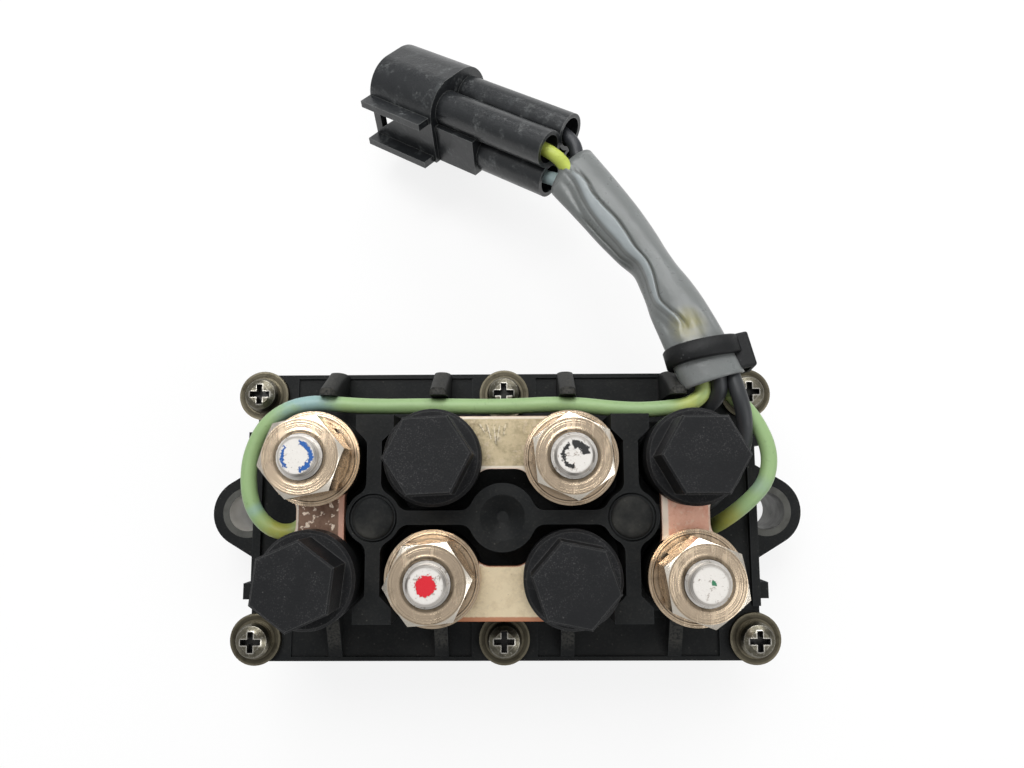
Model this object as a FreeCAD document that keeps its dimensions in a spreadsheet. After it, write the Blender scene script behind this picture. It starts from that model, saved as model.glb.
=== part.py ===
import FreeCAD, Part
import math
import os
import Sketcher

# Trim and tilt relay for an outboard motor: two change-over solenoids side by side in one
# black housing, with four studs, four contact bolts, four bus bars and a short lead that
# ends in a four-way plug.  Millimetres, +Z up, origin in the middle of the base.

doc = FreeCAD.newDocument("trim_relay")
sheet = doc.addObject("Spreadsheet::Sheet", "Sizes")

SIZES = (
    ("case_length", 76.0), ("case_width", 43.0), ("case_height", 22.7), ("case_floor", 2.0),
    ("solenoid_offset", 17.6), ("well_radius", 12.0), ("room_depth", 8.6),
    ("room_length", 29.2), ("room_width", 28.4), ("room_corner", 3.0),
    ("seal_width", 1.5), ("seal_depth", 1.0), ("seal_margin", 0.3),
    ("screw_inset_x", 1.0), ("screw_inset_y", 3.3), ("lobe_radius", 3.7),
    ("screw_radius", 1.5), ("screw_bite", 11.0), ("screw_head_radius", 2.55), ("screw_head_height", 2.3),
    ("recess_width", 0.85), ("recess_span", 3.0), ("recess_depth", 1.5),
    ("case_washer_radius", 3.75), ("case_washer_height", 1.0),
    ("ear_offset", 43.5), ("ear_radius", 5.8), ("ear_height", 12.0), ("ear_slope", 31.0),
    ("collar_bore", 3.1), ("collar_wall", 1.1), ("fit_gap", 0.05),
    ("lug_reach", 2.1), ("lug_width", 2.4), ("lug_height", 6.0), ("lug_row", 11.6),
    ("flange_thickness", 2.0), ("lip_height", 1.0), ("lip_width", 1.2), ("lip_length", 27.0),
    ("panel_length", 27.0), ("panel_centre", 18.4), ("panel_width", 5.6), ("panel_depth", 0.4),
    ("terminal_inner", 9.4), ("terminal_outer", 26.0), ("terminal_row", 8.07),
    ("core_length", 52.0), ("core_width", 27.2), ("core_height", 4.3),
    ("pad_radius", 6.2), ("pad_height", 10.6), ("rib_height", 12.9), ("rib_width", 2.0),
    ("cross_rib_width", 1.9), ("rib_end_width", 5.2), ("rib_end_depth", 1.6), ("rib_end_proud", 0.5),
    ("disc_boss_radius", 3.75), ("disc_radius", 3.05), ("disc_groove", 0.25), ("disc_groove_depth", 0.6),
    ("centre_boss_radius", 4.65), ("dimple_radius", 3.1), ("dimple_depth", 1.5), ("rib_fillet", 1.8),
    ("entry_wall_width", 3.4), ("entry_wall_height", 9.9),
    ("post_column_inner", 9.3), ("post_column_outer", 25.1), ("post_thickness", 2.4),
    ("post_near", 17.2), ("post_far", 21.2), ("post_height", 10.3), ("post_shoulder", 4.6),
    ("post_rounding", 1.1), ("gusset_thickness", 2.0), ("gusset_height", 3.8), ("gusset_far", 20.8),
    ("sleeve_radius", 3.9), ("drive_head_drop", 6.4), ("head_radius", 4.6), ("drive_head_radius", 5.4),
    ("head_thickness", 1.8), ("stud_radius", 3.0), ("stud_rise", 23.2),
    ("tip_radius", 2.6), ("tip_height", 1.3), ("tip_chamfer", 0.35),
    ("post_shank_radius", 3.0), ("bolt_radius", 2.0), ("bolt_bite", 9.0), ("bolt_flange_radius", 6.6),
    ("bolt_flange_height", 3.6), ("bolt_head_height", 6.4), ("bolt_head_flats", 10.0),
    ("bolt_head_chamfer", 0.25),
    ("bar_thickness", 1.2), ("bar_eye_radius", 6.2), ("bar_edge", 13.9), ("bar_neck", 7.3),
    ("end_bar_neck", 6.6), ("end_bar_inset", 0.9), ("bar_fillet", 2.5),
    ("washer_radius", 6.5), ("washer_height", 1.6), ("spring_washer_radius", 5.2),
    ("spring_washer_height", 1.5), ("spring_washer_slot", 1.0),
    ("nut_flats", 10.0), ("nut_height", 4.8), ("nut_chamfer", 0.8),
    ("can_wall", 1.2), ("can_radius", 11.8), ("can_clearance", 1.7), ("top_plate_thickness", 1.3),
    ("plunger_radius", 3.4), ("carrier_drop", 0.6), ("stroke", 2.0), ("stroke_spare", 0.2),
    ("core_rise", 1.4), ("spring_bore", 2.0), ("spring_bore_depth", 4.0), ("spring_radius", 1.4),
    ("spring_wire", 0.22), ("spring_turns", 6.0),
    ("bobbin_wall", 0.8), ("bobbin_flange", 0.8), ("bobbin_clearance", 0.3), ("coil_radius", 9.4),
    ("bobbin_radius", 10.2), ("stem_radius", 1.2), ("stem_head_radius", 1.9), ("stem_head_height", 0.7),
    ("carrier_width", 5.0), ("carrier_length", 21.5), ("carrier_thickness", 1.25),
    ("bridge_width", 4.6), ("bridge_thickness", 1.0), ("rest_bridge_length", 20.6),
    ("drive_bridge_length", 8.2), ("contact_gap", 0.05),
    ("wire_radius", 1.05), ("sheath_radius", 3.7), ("tie_width", 2.7), ("tie_thickness", 1.0),
    ("tie_head_length", 5.6), ("tie_head_depth", 3.4), ("tie_head_height", 4.4),
    ("barrel_radius", 3.05), ("barrel_pitch", 5.8), ("barrel_length", 21.9), ("barrel_bore", 2.35),
    ("barrel_bore_depth", 8.0), ("lead_seal_length", 4.0), ("lead_seal_inset", 2.4),
    ("step_start", 13.5), ("step_half_width", 6.5), ("step_low", 5.4), ("step_high", 1.2),
    ("hood_length", 14.4), ("hood_width", 14.6), ("hood_low", 5.6), ("hood_high", 7.9),
    ("hood_rounding", 5.6), ("hood_wall", 1.3), ("hood_floor", 3.0), ("ledge_reach", 2.4),
    ("ledge_thickness", 1.2), ("ledge_high", 2.5), ("ledge_low", -5.0), ("window_length", 5.5),
    ("window_height", 4.2), ("pin_width", 1.8), ("pin_thickness", 0.8), ("pin_reach", 6.0),
    ("plug_yaw", 147.6), ("plug_pitch", 20.5), ("plug_roll", 25.1),
    ("plug_x", 9.3), ("plug_y", 58.7), ("plug_z", 20.9),
)


class Size:
    """A length that carries its value and the sheet expression it comes from."""

    def __init__(self, value, text):
        self.value = value
        self.text = text

    def __add__(self, other):
        other = size(other)
        return Size(self.value + other.value, "(%s + %s)" % (self.text, other.text))

    def __sub__(self, other):
        other = size(other)
        return Size(self.value - other.value, "(%s - %s)" % (self.text, other.text))

    def __mul__(self, other):
        other = size(other)
        return Size(self.value * other.value, "(%s * %s)" % (self.text, other.text))

    def __truediv__(self, other):
        other = size(other)
        return Size(self.value / other.value, "(%s / %s)" % (self.text, other.text))

    def __radd__(self, other):
        return size(other) + self

    def __rsub__(self, other):
        return size(other) - self

    def __rmul__(self, other):
        return size(other) * self

    def __neg__(self):
        return Size(-self.value, "(0 - %s)" % self.text)


def size(number):
    """A plain number as a Size; a Size as it is."""
    if isinstance(number, Size):
        return number
    return Size(float(number), "(%r)" % float(number))


def sine(angle):
    return Size(math.sin(math.radians(angle.value)), "sin(%s)" % angle.text)


def cosine(angle):
    return Size(math.cos(math.radians(angle.value)), "cos(%s)" % angle.text)


class Sizes:
    """Every named size of the sheet, as an attribute."""

    def __init__(self, rows):
        for row, (alias, value) in enumerate(rows, start=1):
            sheet.set("A%d" % row, alias)
            sheet.set("B%d" % row, str(value))
            sheet.setAlias("B%d" % row, alias)
            setattr(self, alias, Size(value, "Sizes." + alias))


s = Sizes(SIZES)
doc.recompute()

# Levels and places that several pieces share
case_top = s.case_height
flange_top = case_top + s.flange_thickness
pad_top = flange_top + s.pad_height
bar_top = pad_top + s.bar_thickness
room_floor = case_top - s.room_depth
well_depth = room_floor - s.case_floor
can_height = well_depth - s.can_clearance
rib_top = flange_top + s.rib_height
washer_top = bar_top + s.washer_height
spring_washer_top = washer_top + s.spring_washer_height
drive_head_top = case_top - s.drive_head_drop
TERMINALS = [(sx * column, row) for row in (s.terminal_row, -s.terminal_row)
             for sx, column in ((-1, s.terminal_outer), (-1, s.terminal_inner),
                                (1, s.terminal_inner), (1, s.terminal_outer))]
SCREWS = (("rear_left", -1, 1), ("rear_middle", 0, 1), ("rear_right", 1, 1),
          ("front_left", -1, -1), ("front_middle", 0, -1), ("front_right", 1, -1))
SIDES = (("left", -1), ("right", 1))
parts = []


def bind(item, prop, value):
    item.setExpression(prop, size(value).text)


def place(item, x=0, y=0, z=0):
    bind(item, "Placement.Base.x", x)
    bind(item, "Placement.Base.y", y)
    bind(item, "Placement.Base.z", z)
    return item


def box(name, length, width, height, x=0, y=0, z=0):
    """A block centred on x and y that stands on z."""
    item = doc.addObject("Part::Box", name)
    bind(item, "Length", length)
    bind(item, "Width", width)
    bind(item, "Height", height)
    return place(item, x - size(length) / 2, y - size(width) / 2, z)


def rod(name, radius, height, x=0, y=0, z=0):
    item = doc.addObject("Part::Cylinder", name)
    bind(item, "Radius", radius)
    bind(item, "Height", height)
    return place(item, x, y, z)


def cone(name, low_radius, high_radius, height, x=0, y=0, z=0):
    item = doc.addObject("Part::Cone", name)
    bind(item, "Radius1", low_radius)
    bind(item, "Radius2", high_radius)
    bind(item, "Height", height)
    return place(item, x, y, z)


def hexagon(name, flats, height, x=0, y=0, z=0, turn=0.0):
    item = doc.addObject("Part::Prism", name)
    item.Polygon = 6
    bind(item, "Circumradius", size(flats) / math.sqrt(3))
    bind(item, "Height", height)
    item.Placement.Rotation = FreeCAD.Rotation(FreeCAD.Vector(0, 0, 1), turn)
    return place(item, x, y, z)


def cut(name, base, tool):
    item = doc.addObject("Part::Cut", name)
    item.Base = base
    item.Tool = tool
    return item


def fuse(name, shapes):
    item = doc.addObject("Part::MultiFuse", name)
    item.Shapes = shapes
    item.Refine = True
    return item


def common(name, shapes):
    item = doc.addObject("Part::MultiCommon", name)
    item.Shapes = shapes
    return item


def group(name, shapes):
    item = doc.addObject("Part::Compound", name)
    item.Links = shapes
    return item


def round_edges(name, base, radius, wanted, kind="Part::Fillet"):
    """Fillet or chamfer the edges of base that the test picks out."""
    doc.recompute()
    item = doc.addObject(kind, name)
    item.Base = base
    picked = [n for n, edge in enumerate(base.Shape.Edges, start=1) if wanted(edge)]
    item.Edges = [(n, radius.value, radius.value) for n in picked]
    return item


def sketch_in(body, role, name, points):
    """A closed sketch on one of the body's planes, each corner tied to the sheet."""
    sketch = body.newObject("Sketcher::SketchObject", name)
    plane = [f for f in body.Origin.OriginFeatures if f.Role == role][0]
    sketch.AttachmentSupport = (plane, [""])
    sketch.MapMode = "FlatFace"
    corners = [(size(a), size(b)) for a, b in points]
    for (a, b), (c, d) in zip(corners, corners[1:] + corners[:1]):
        start = FreeCAD.Vector(a.value, b.value, 0)
        sketch.addGeometry(Part.LineSegment(start, FreeCAD.Vector(c.value, d.value, 0)), False)
    count = len(corners)
    for line in range(count):
        sketch.addConstraint(Sketcher.Constraint("Coincident", line, 2, (line + 1) % count, 1))
    for line, corner in enumerate(corners):
        for kind, coordinate in zip(("DistanceX", "DistanceY"), corner):
            place_in_list = sketch.addConstraint(
                Sketcher.Constraint(kind, -1, 1, line, 1, coordinate.value))
            sketch.setExpression("Constraints[%d]" % place_in_list, coordinate.text)
    return sketch


def turned(name, points, x=0, y=0, z=0):
    """A piece turned about its own vertical axis from (radius, height) corners."""
    body = doc.addObject("PartDesign::Body", name)
    sketch = sketch_in(body, "XZ_Plane", name + "_profile", points)
    turn = body.newObject("PartDesign::Revolution", name + "_turn")
    turn.Profile = sketch
    turn.ReferenceAxis = (sketch, ["V_Axis"])
    turn.Angle = 360.0
    body.Tip = turn
    return place(body, x, y, z)


def ring(name, outer, inner, height, x=0, y=0, z=0):
    return turned(name, [(inner, 0), (outer, 0), (outer, height), (inner, height)], x, y, z)


def plate(name, points, thickness, role="XY_Plane", x=0, y=0, z=0, centred=False):
    """A plate padded from a closed outline on one of the body's planes."""
    body = doc.addObject("PartDesign::Body", name)
    sketch = sketch_in(body, role, name + "_outline", points)
    pad = body.newObject("PartDesign::Pad", name + "_pad")
    pad.Profile = sketch
    bind(pad, "Length", thickness)
    pad.Midplane = centred
    body.Tip = pad
    return place(body, x, y, z)


def keep(item, label):
    item.Label = label
    parts.append(item)
    return item


def upright(edge):
    """True for a straight edge that runs along Z."""
    if edge.Curve.TypeId != "Part::GeomLine":
        return False
    return abs(edge.tangentAt(edge.FirstParameter).z) > 0.999


def screw_place(sx, sy):
    return (s.case_length / 2 - s.screw_inset_x) * sx, (s.case_width / 2 - s.screw_inset_y) * sy


# Lower case: a tub with two round wells for the solenoids, a contact room above each, and
# two ears whose flanks run straight from the end walls to the round tip
def rounded_room(name, side):
    room = box(name + "_block", s.room_length, s.room_width, case_top - room_floor,
               s.solenoid_offset * side, 0, room_floor)
    return round_edges(name, room, s.room_corner, upright)


def ear(name, side):
    wall = s.case_length / 2
    tip_x = s.ear_offset + s.ear_radius * sine(s.ear_slope)
    tip_y = s.ear_radius * cosine(s.ear_slope)
    root = (s.ear_radius + (s.ear_offset - wall) * sine(s.ear_slope)) / cosine(s.ear_slope)
    web = plate(name + "_web", [(side * (wall - 1), -root), (side * wall, -root), (side * tip_x, -tip_y),
                                (side * tip_x, tip_y), (side * wall, root), (side * (wall - 1), root)],
                s.ear_height)
    return [web, rod(name + "_tip", s.ear_radius, s.ear_height, s.ear_offset * side)]


def lug(name, sx, sy):
    """A small block that stands off the end wall below the flange."""
    return box(name, s.lug_reach * 2, s.lug_width, s.lug_height, s.case_length / 2 * sx, s.lug_row * sy,
               case_top - s.lug_height)


def seal_ring(name, z, height):
    inner_length = 2 * s.solenoid_offset + s.room_length + 2 * s.seal_margin
    inner_width = s.room_width + 2 * s.seal_margin
    outer = box(name + "_outer", inner_length + 2 * s.seal_width, inner_width + 2 * s.seal_width,
                height, 0, 0, z)
    inner = box(name + "_inner", inner_length, inner_width, height, 0, 0, z)
    return cut(name, outer, inner)


def make_lower_case():
    solids = [box("case_block", s.case_length, s.case_width, s.case_height)]
    for name, sx, sy in SCREWS:
        if sx:
            x, y = screw_place(sx, sy)
            solids.append(rod("case_lobe_" + name, s.lobe_radius, s.case_height, x, y))
            solids.append(lug("case_lug_" + name, sx, sy))
    for name, side in SIDES:
        solids += ear("case_ear_" + name, side)
    hollows = [seal_ring("seal_groove", case_top - s.seal_depth, s.seal_depth)]
    for name, side in SIDES:
        hollows.append(rod("well_" + name, s.well_radius, well_depth, s.solenoid_offset * side, 0,
                           s.case_floor))
        hollows.append(rounded_room("room_" + name, side))
        hollows.append(rod("ear_hole_" + name, s.collar_bore + s.collar_wall + s.fit_gap, s.ear_height,
                           s.ear_offset * side))
    for name, sx, sy in SCREWS:
        x, y = screw_place(sx, sy)
        hollows.append(rod("screw_bore_" + name, s.screw_radius + s.fit_gap, s.screw_bite + 1, x, y,
                           case_top - s.screw_bite - 1))
    shell = fuse("case_solids", solids)
    return cut("case_finished", shell, fuse("case_hollows", hollows))


# Terminal block: flange with corner lobes, a low core with eight round pads, and the
# partition that keeps the terminals apart
def make_partition():
    ribs = [box("cross_rib", 2 * s.solenoid_offset, s.cross_rib_width, s.rib_height, 0, 0, flange_top),
            rod("centre_boss", s.centre_boss_radius, s.rib_height, 0, 0, flange_top)]
    for name, side in SIDES:
        x = s.solenoid_offset * side
        ribs.append(box("rib_" + name, s.rib_width, s.core_width, s.rib_height, x, 0, flange_top))
        ribs.append(rod("disc_boss_" + name, s.disc_boss_radius, s.rib_height, x, 0, flange_top))
        for end, sy in (("rear", 1), ("front", -1)):
            half = s.core_width / 2
            flare = (s.rib_end_width - s.rib_width) / 2
            points = [(x - s.rib_width / 2, sy * (half - s.rib_end_depth - flare)),
                      (x + s.rib_width / 2, sy * (half - s.rib_end_depth - flare)),
                      (x + s.rib_end_width / 2, sy * (half - s.rib_end_depth)),
                      (x + s.rib_end_width / 2, sy * (half + s.rib_end_proud)),
                      (x - s.rib_end_width / 2, sy * (half + s.rib_end_proud)),
                      (x - s.rib_end_width / 2, sy * (half - s.rib_end_depth))]
            ribs.append(plate("rib_end_%s_%s" % (name, end), points, s.rib_height, z=flange_top))
    joined = fuse("ribs", ribs)

    def at_boss(edge):
        if not upright(edge):
            return False
        x, y = edge.Vertexes[0].X, edge.Vertexes[0].Y
        bosses = ((0, s.centre_boss_radius), (s.solenoid_offset.value, s.disc_boss_radius),
                  (-s.solenoid_offset.value, s.disc_boss_radius))
        return any(abs(math.hypot(x - float(cx), y) - radius.value) < 0.01 for cx, radius in bosses)

    return round_edges("partition", joined, s.rib_fillet, at_boss)


def wire_post(name, x):
    """A tall post that holds the lead against the block, its outer face sloping down."""
    low = flange_top
    post = plate(name + "_plain", [(s.post_near, low), (s.post_far, low), (s.post_far, low + s.post_shoulder),
                                   (s.post_near + s.post_rounding, low + s.post_height),
                                   (s.post_near, low + s.post_height)],
                 s.post_thickness, "YZ_Plane", x, centred=True)

    def top_edge(edge):
        return all(v.Z > low.value + 1 for v in edge.Vertexes) and edge.BoundBox.XLength < 0.01

    return round_edges(name, post, s.post_rounding, top_edge)


def gusset(name, x):
    """A thin rib that braces the front wall down to the flange."""
    wall = -s.core_width / 2
    return plate(name, [(wall + 1, flange_top), (wall + 1, flange_top + s.gusset_height),
                        (wall, flange_top + s.gusset_height), (-s.gusset_far, flange_top + 0.3),
                        (-s.gusset_far, flange_top)], s.gusset_thickness, "YZ_Plane", x, centred=True)


def make_terminal_block():
    solids = [box("flange", s.case_length, s.case_width, s.flange_thickness, 0, 0, case_top),
              box("block_core", s.core_length, s.core_width, s.core_height, 0, 0, flange_top),
              make_partition()]
    hollows = [cone("dimple", 0.8, s.dimple_radius, s.dimple_depth, 0, 0, rib_top - s.dimple_depth)]
    for name, side in SIDES:
        x = s.solenoid_offset * side
        solids.append(box("lip_" + name, s.lip_width, s.lip_length, s.lip_height,
                          (s.case_length - s.lip_width) / 2 * side, 0, flange_top))
        wall_length = s.terminal_outer - s.solenoid_offset
        solids.append(box("entry_wall_" + name, wall_length, s.entry_wall_width, s.entry_wall_height,
                          (s.solenoid_offset + wall_length / 2) * side, 0, flange_top))
        hollows.append(ring("disc_groove_" + name, s.disc_radius + s.disc_groove, s.disc_radius,
                            s.disc_groove_depth, x, 0, rib_top - s.disc_groove_depth))
        for row, sy in (("rear", 1), ("front", -1)):
            hollows.append(box("panel_%s_%s" % (name, row), s.panel_length, s.panel_width, s.panel_depth,
                               s.panel_centre * side,
                               (s.case_width / 2 - s.panel_width / 2 - 0.6) * sy,
                               flange_top - s.panel_depth))
        for depth, column in (("inner", s.post_column_inner), ("outer", s.post_column_outer)):
            solids.append(wire_post("wire_post_%s_%s" % (name, depth), column * side))
            solids.append(gusset("gusset_%s_%s" % (name, depth), column * side))
    for number, (x, y) in enumerate(TERMINALS):
        solids.append(rod("pad_%d" % number, s.pad_radius, s.pad_height, x, y, flange_top))
        if y.value < 0:
            solids.append(rod("sleeve_%d" % number, s.sleeve_radius, s.drive_head_drop, x, y, drive_head_top))
            hollows.append(rod("terminal_hole_%d" % number, s.stud_radius + s.fit_gap,
                               pad_top - drive_head_top, x, y, drive_head_top))
        else:
            hollows.append(rod("terminal_hole_%d" % number, s.stud_radius + s.fit_gap,
                               pad_top - case_top, x, y, case_top))
    for name, sx, sy in SCREWS:
        x, y = screw_place(sx, sy)
        if sx:
            solids.append(rod("flange_lobe_" + name, s.lobe_radius, s.flange_thickness, x, y, case_top))
        hollows.append(rod("flange_hole_" + name, s.screw_radius + 4 * s.fit_gap, s.flange_thickness, x, y,
                           case_top))
    return cut("block_finished", fuse("block_solids", solids), fuse("block_hollows", hollows))


# Fasteners of the housing
def make_case_screw(name, sx, sy):
    x, y = screw_place(sx, sy)
    seat = flange_top + s.case_washer_height
    head_top = seat + s.screw_head_height
    body = turned("screw_" + name, [
        (0, case_top - s.screw_bite), (s.screw_radius, case_top - s.screw_bite), (s.screw_radius, seat),
        (s.screw_head_radius, seat), (s.screw_head_radius, seat + s.screw_head_height * 0.45),
        (s.screw_head_radius * 0.88, seat + s.screw_head_height * 0.78),
        (s.screw_head_radius * 0.55, head_top), (0, head_top)], x, y)
    low = head_top - s.recess_depth
    cross = fuse("cross_" + name, [
        box("slot_a_" + name, s.recess_span, s.recess_width, s.recess_depth, x, y, low),
        box("slot_b_" + name, s.recess_width, s.recess_span, s.recess_depth, x, y, low)])
    keep(cut("case_screw_cut_" + name, body, cross), "case_screw_" + name)


def make_case_washers():
    rings = []
    for name, sx, sy in SCREWS:
        x, y = screw_place(sx, sy)
        rings.append(ring("case_washer_" + name, s.case_washer_radius, s.screw_radius + 2 * s.fit_gap,
                          s.case_washer_height, x, y, flange_top))
    keep(group("case_washer_group", rings), "case_washers")


# Terminals: studs and contact posts share their heads, which the bridges touch
def terminal_head(y):
    """Head radius and the level of its top face for a terminal in the row at y."""
    if y.value < 0:
        return s.drive_head_radius, drive_head_top
    return s.head_radius, case_top


def make_stud(name, number):
    x, y = TERMINALS[number]
    head, level = terminal_head(y)
    top = flange_top + s.stud_rise - s.flange_thickness
    shoulder = top - s.tip_height
    keep(turned(name, [
        (0, level - s.head_thickness), (head, level - s.head_thickness), (head, level),
        (s.stud_radius, level), (s.stud_radius, shoulder), (s.tip_radius, shoulder),
        (s.tip_radius, top - s.tip_chamfer), (s.tip_radius - s.tip_chamfer, top), (0, top)], x, y), name)


def make_contact_post(number):
    x, y = TERMINALS[number]
    head, level = terminal_head(y)
    bore = s.bolt_radius + s.fit_gap
    floor = pad_top - s.bolt_bite - 1
    return turned("contact_post_%d" % number, [
        (0, level - s.head_thickness), (head, level - s.head_thickness), (head, level),
        (s.post_shank_radius, level), (s.post_shank_radius, pad_top), (bore, pad_top), (bore, floor),
        (0, floor)], x, y)


def make_contact_bolt(name, number, turn):
    x, y = TERMINALS[number]
    head_low = bar_top + s.bolt_flange_height
    shank = turned(name + "_shank", [
        (0, pad_top - s.bolt_bite), (s.bolt_radius, pad_top - s.bolt_bite), (s.bolt_radius, bar_top),
        (s.bolt_flange_radius, bar_top), (s.bolt_flange_radius, head_low - 0.4),
        (s.bolt_flange_radius - 0.4, head_low), (0, head_low)], x, y)
    plain = hexagon(name + "_hexagon", s.bolt_head_flats, s.bolt_head_height, x, y, head_low, turn)
    top = (head_low + s.bolt_head_height).value
    head = round_edges(name + "_head", plain, s.bolt_head_chamfer,
                       lambda edge: all(abs(v.Z - top) < 0.001 for v in edge.Vertexes), "Part::Chamfer")
    keep(fuse(name + "_whole", [shank, head]), name)


def make_nut(name, number, turn):
    x, y = TERMINALS[number]
    blank = hexagon(name + "_hexagon", s.nut_flats, s.nut_height, x, y, spring_washer_top, turn)
    corner = s.nut_flats / math.sqrt(3)
    crown = turned(name + "_crown", [
        (s.stud_radius + s.fit_gap, 0), (corner, 0), (corner, s.nut_height - s.nut_chamfer * 0.55),
        (corner - s.nut_chamfer, s.nut_height), (s.stud_radius + s.fit_gap, s.nut_height)],
        x, y, spring_washer_top)
    keep(common(name + "_whole", [blank, crown]), name)


def make_spring_washer(number, turn):
    x, y = TERMINALS[number]
    washer = ring("spring_washer_%d" % number, s.spring_washer_radius, s.stud_radius + 2 * s.fit_gap,
                  s.spring_washer_height, x, y, washer_top)
    slot = doc.addObject("Part::Box", "washer_slot_%d" % number)
    bind(slot, "Length", s.spring_washer_radius + 1)
    bind(slot, "Width", s.spring_washer_slot)
    bind(slot, "Height", s.spring_washer_height)
    slot.Placement.Rotation = FreeCAD.Rotation(FreeCAD.Vector(0, 0, 1), turn)
    place(slot, x, y, washer_top)
    return cut("split_washer_%d" % number, washer, slot)


# Bus bars: plated copper strips, two round eyes and a neck
def make_bar(name, first, second, along_x):
    ends = [TERMINALS[first], TERMINALS[second]]
    eyes = [rod("%s_eye_%d" % (name, n), s.bar_eye_radius, s.bar_thickness, x, y, pad_top)
            for n, (x, y) in enumerate(ends)]
    if along_x:
        side = 1 if ends[0][1].value > 0 else -1
        neck_x, neck_y = size(0), (s.bar_edge - s.bar_neck / 2) * side
        neck = box(name + "_neck", 2 * s.terminal_inner, s.bar_neck, s.bar_thickness, neck_x, neck_y, pad_top)
        edges = [neck_y - s.bar_neck / 2 * side]
    else:
        side = 1 if ends[0][0].value > 0 else -1
        neck_x, neck_y = (s.terminal_outer - s.end_bar_inset) * side, size(0)
        neck = box(name + "_neck", s.end_bar_neck, 2 * s.terminal_row, s.bar_thickness, neck_x, neck_y, pad_top)
        edges = [neck_x - s.end_bar_neck / 2, neck_x + s.end_bar_neck / 2]
    outline = fuse(name + "_outline", eyes + [neck])

    def inner_corner(edge):
        if not upright(edge):
            return False
        across = edge.Vertexes[0].Y if along_x else edge.Vertexes[0].X
        return any(abs(across - line.value) < 0.01 for line in edges)

    filleted = round_edges(name + "_filleted", outline, s.bar_fillet, inner_corner)
    holes = []
    for n, number in enumerate((first, second)):
        x, y = TERMINALS[number]
        shank = s.stud_radius if number in STUDS.values() else s.bolt_radius
        holes.append(rod("%s_hole_%d" % (name, n), shank + 2 * s.fit_gap, s.bar_thickness, x, y, pad_top))
    keep(cut(name + "_cut", filleted, fuse(name + "_holes", holes)), name)


# One solenoid: can, fixed core, bobbin, winding, plunger, spring, carrier and two bridges
def make_solenoid(name, side):
    x = s.solenoid_offset * side
    low = s.case_floor
    can_top = low + can_height
    plate_top = can_top + s.top_plate_thickness
    bore = s.plunger_radius + s.fit_gap
    inside = s.can_radius - s.can_wall
    keep(turned("can_" + name, [
        (0, 0), (s.can_radius, 0), (s.can_radius, can_height), (inside, can_height),
        (inside, s.can_wall), (0, s.can_wall)], x, 0, low), "solenoid_can_" + name)
    keep(ring("can_lid_" + name, s.can_radius, bore, s.top_plate_thickness, x, 0, can_top),
         "solenoid_lid_" + name)
    core_low = low + s.can_wall
    core_top = core_low + s.core_rise
    keep(turned("core_" + name, [
        (0, 0), (s.plunger_radius, 0), (s.plunger_radius, s.core_rise), (s.spring_bore, s.core_rise),
        (s.spring_bore, 0.4), (0, 0.4)], x, 0, core_low), "fixed_core_" + name)
    bobbin_height = can_height - s.can_wall
    tube = s.plunger_radius + s.bobbin_clearance
    sleeve = tube + s.bobbin_wall
    keep(turned("bobbin_shape_" + name, [
        (tube, 0), (s.bobbin_radius, 0), (s.bobbin_radius, s.bobbin_flange), (sleeve, s.bobbin_flange),
        (sleeve, bobbin_height - s.bobbin_flange), (s.bobbin_radius, bobbin_height - s.bobbin_flange),
        (s.bobbin_radius, bobbin_height), (tube, bobbin_height)], x, 0, core_low), "bobbin_" + name)
    keep(ring("winding_" + name, s.coil_radius, sleeve + s.fit_gap, bobbin_height - 2 * s.bobbin_flange,
              x, 0, core_low + s.bobbin_flange), "coil_" + name)
    plunger_low = core_top + s.stroke + s.stroke_spare
    plunger_top = drive_head_top - s.carrier_drop
    carrier_top = plunger_top + s.carrier_thickness
    keep(turned("plunger_shape_" + name, [
        (s.spring_bore, plunger_low), (s.plunger_radius, plunger_low), (s.plunger_radius, plunger_top),
        (s.stem_radius, plunger_top), (s.stem_radius, carrier_top), (s.stem_head_radius, carrier_top),
        (s.stem_head_radius, carrier_top + s.stem_head_height), (0, carrier_top + s.stem_head_height),
        (0, plunger_low + s.spring_bore_depth), (s.spring_bore, plunger_low + s.spring_bore_depth)],
        x), "plunger_" + name)
    make_spring(name, x, core_low + 0.4, plunger_low + s.spring_bore_depth)
    make_contacts(name, x, plunger_top)


def make_spring(name, x, low, high):
    """A return spring between the core and the plunger."""
    height = (high - low - 2 * s.spring_wire).value
    helix = Part.makeHelix(height / s.spring_turns.value, height, s.spring_radius.value)
    start = FreeCAD.Vector(s.spring_radius.value, 0, 0)
    section = Part.Wire(Part.makeCircle(s.spring_wire.value, start, FreeCAD.Vector(0, 1, 0)))
    coil = Part.Wire(helix.Edges).makePipeShell([section], True, True)
    item = doc.addObject("Part::Feature", "return_spring_shape_" + name)
    item.Shape = coil
    place(item, x, 0, low + s.spring_wire)
    keep(item, "return_spring_" + name)


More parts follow.
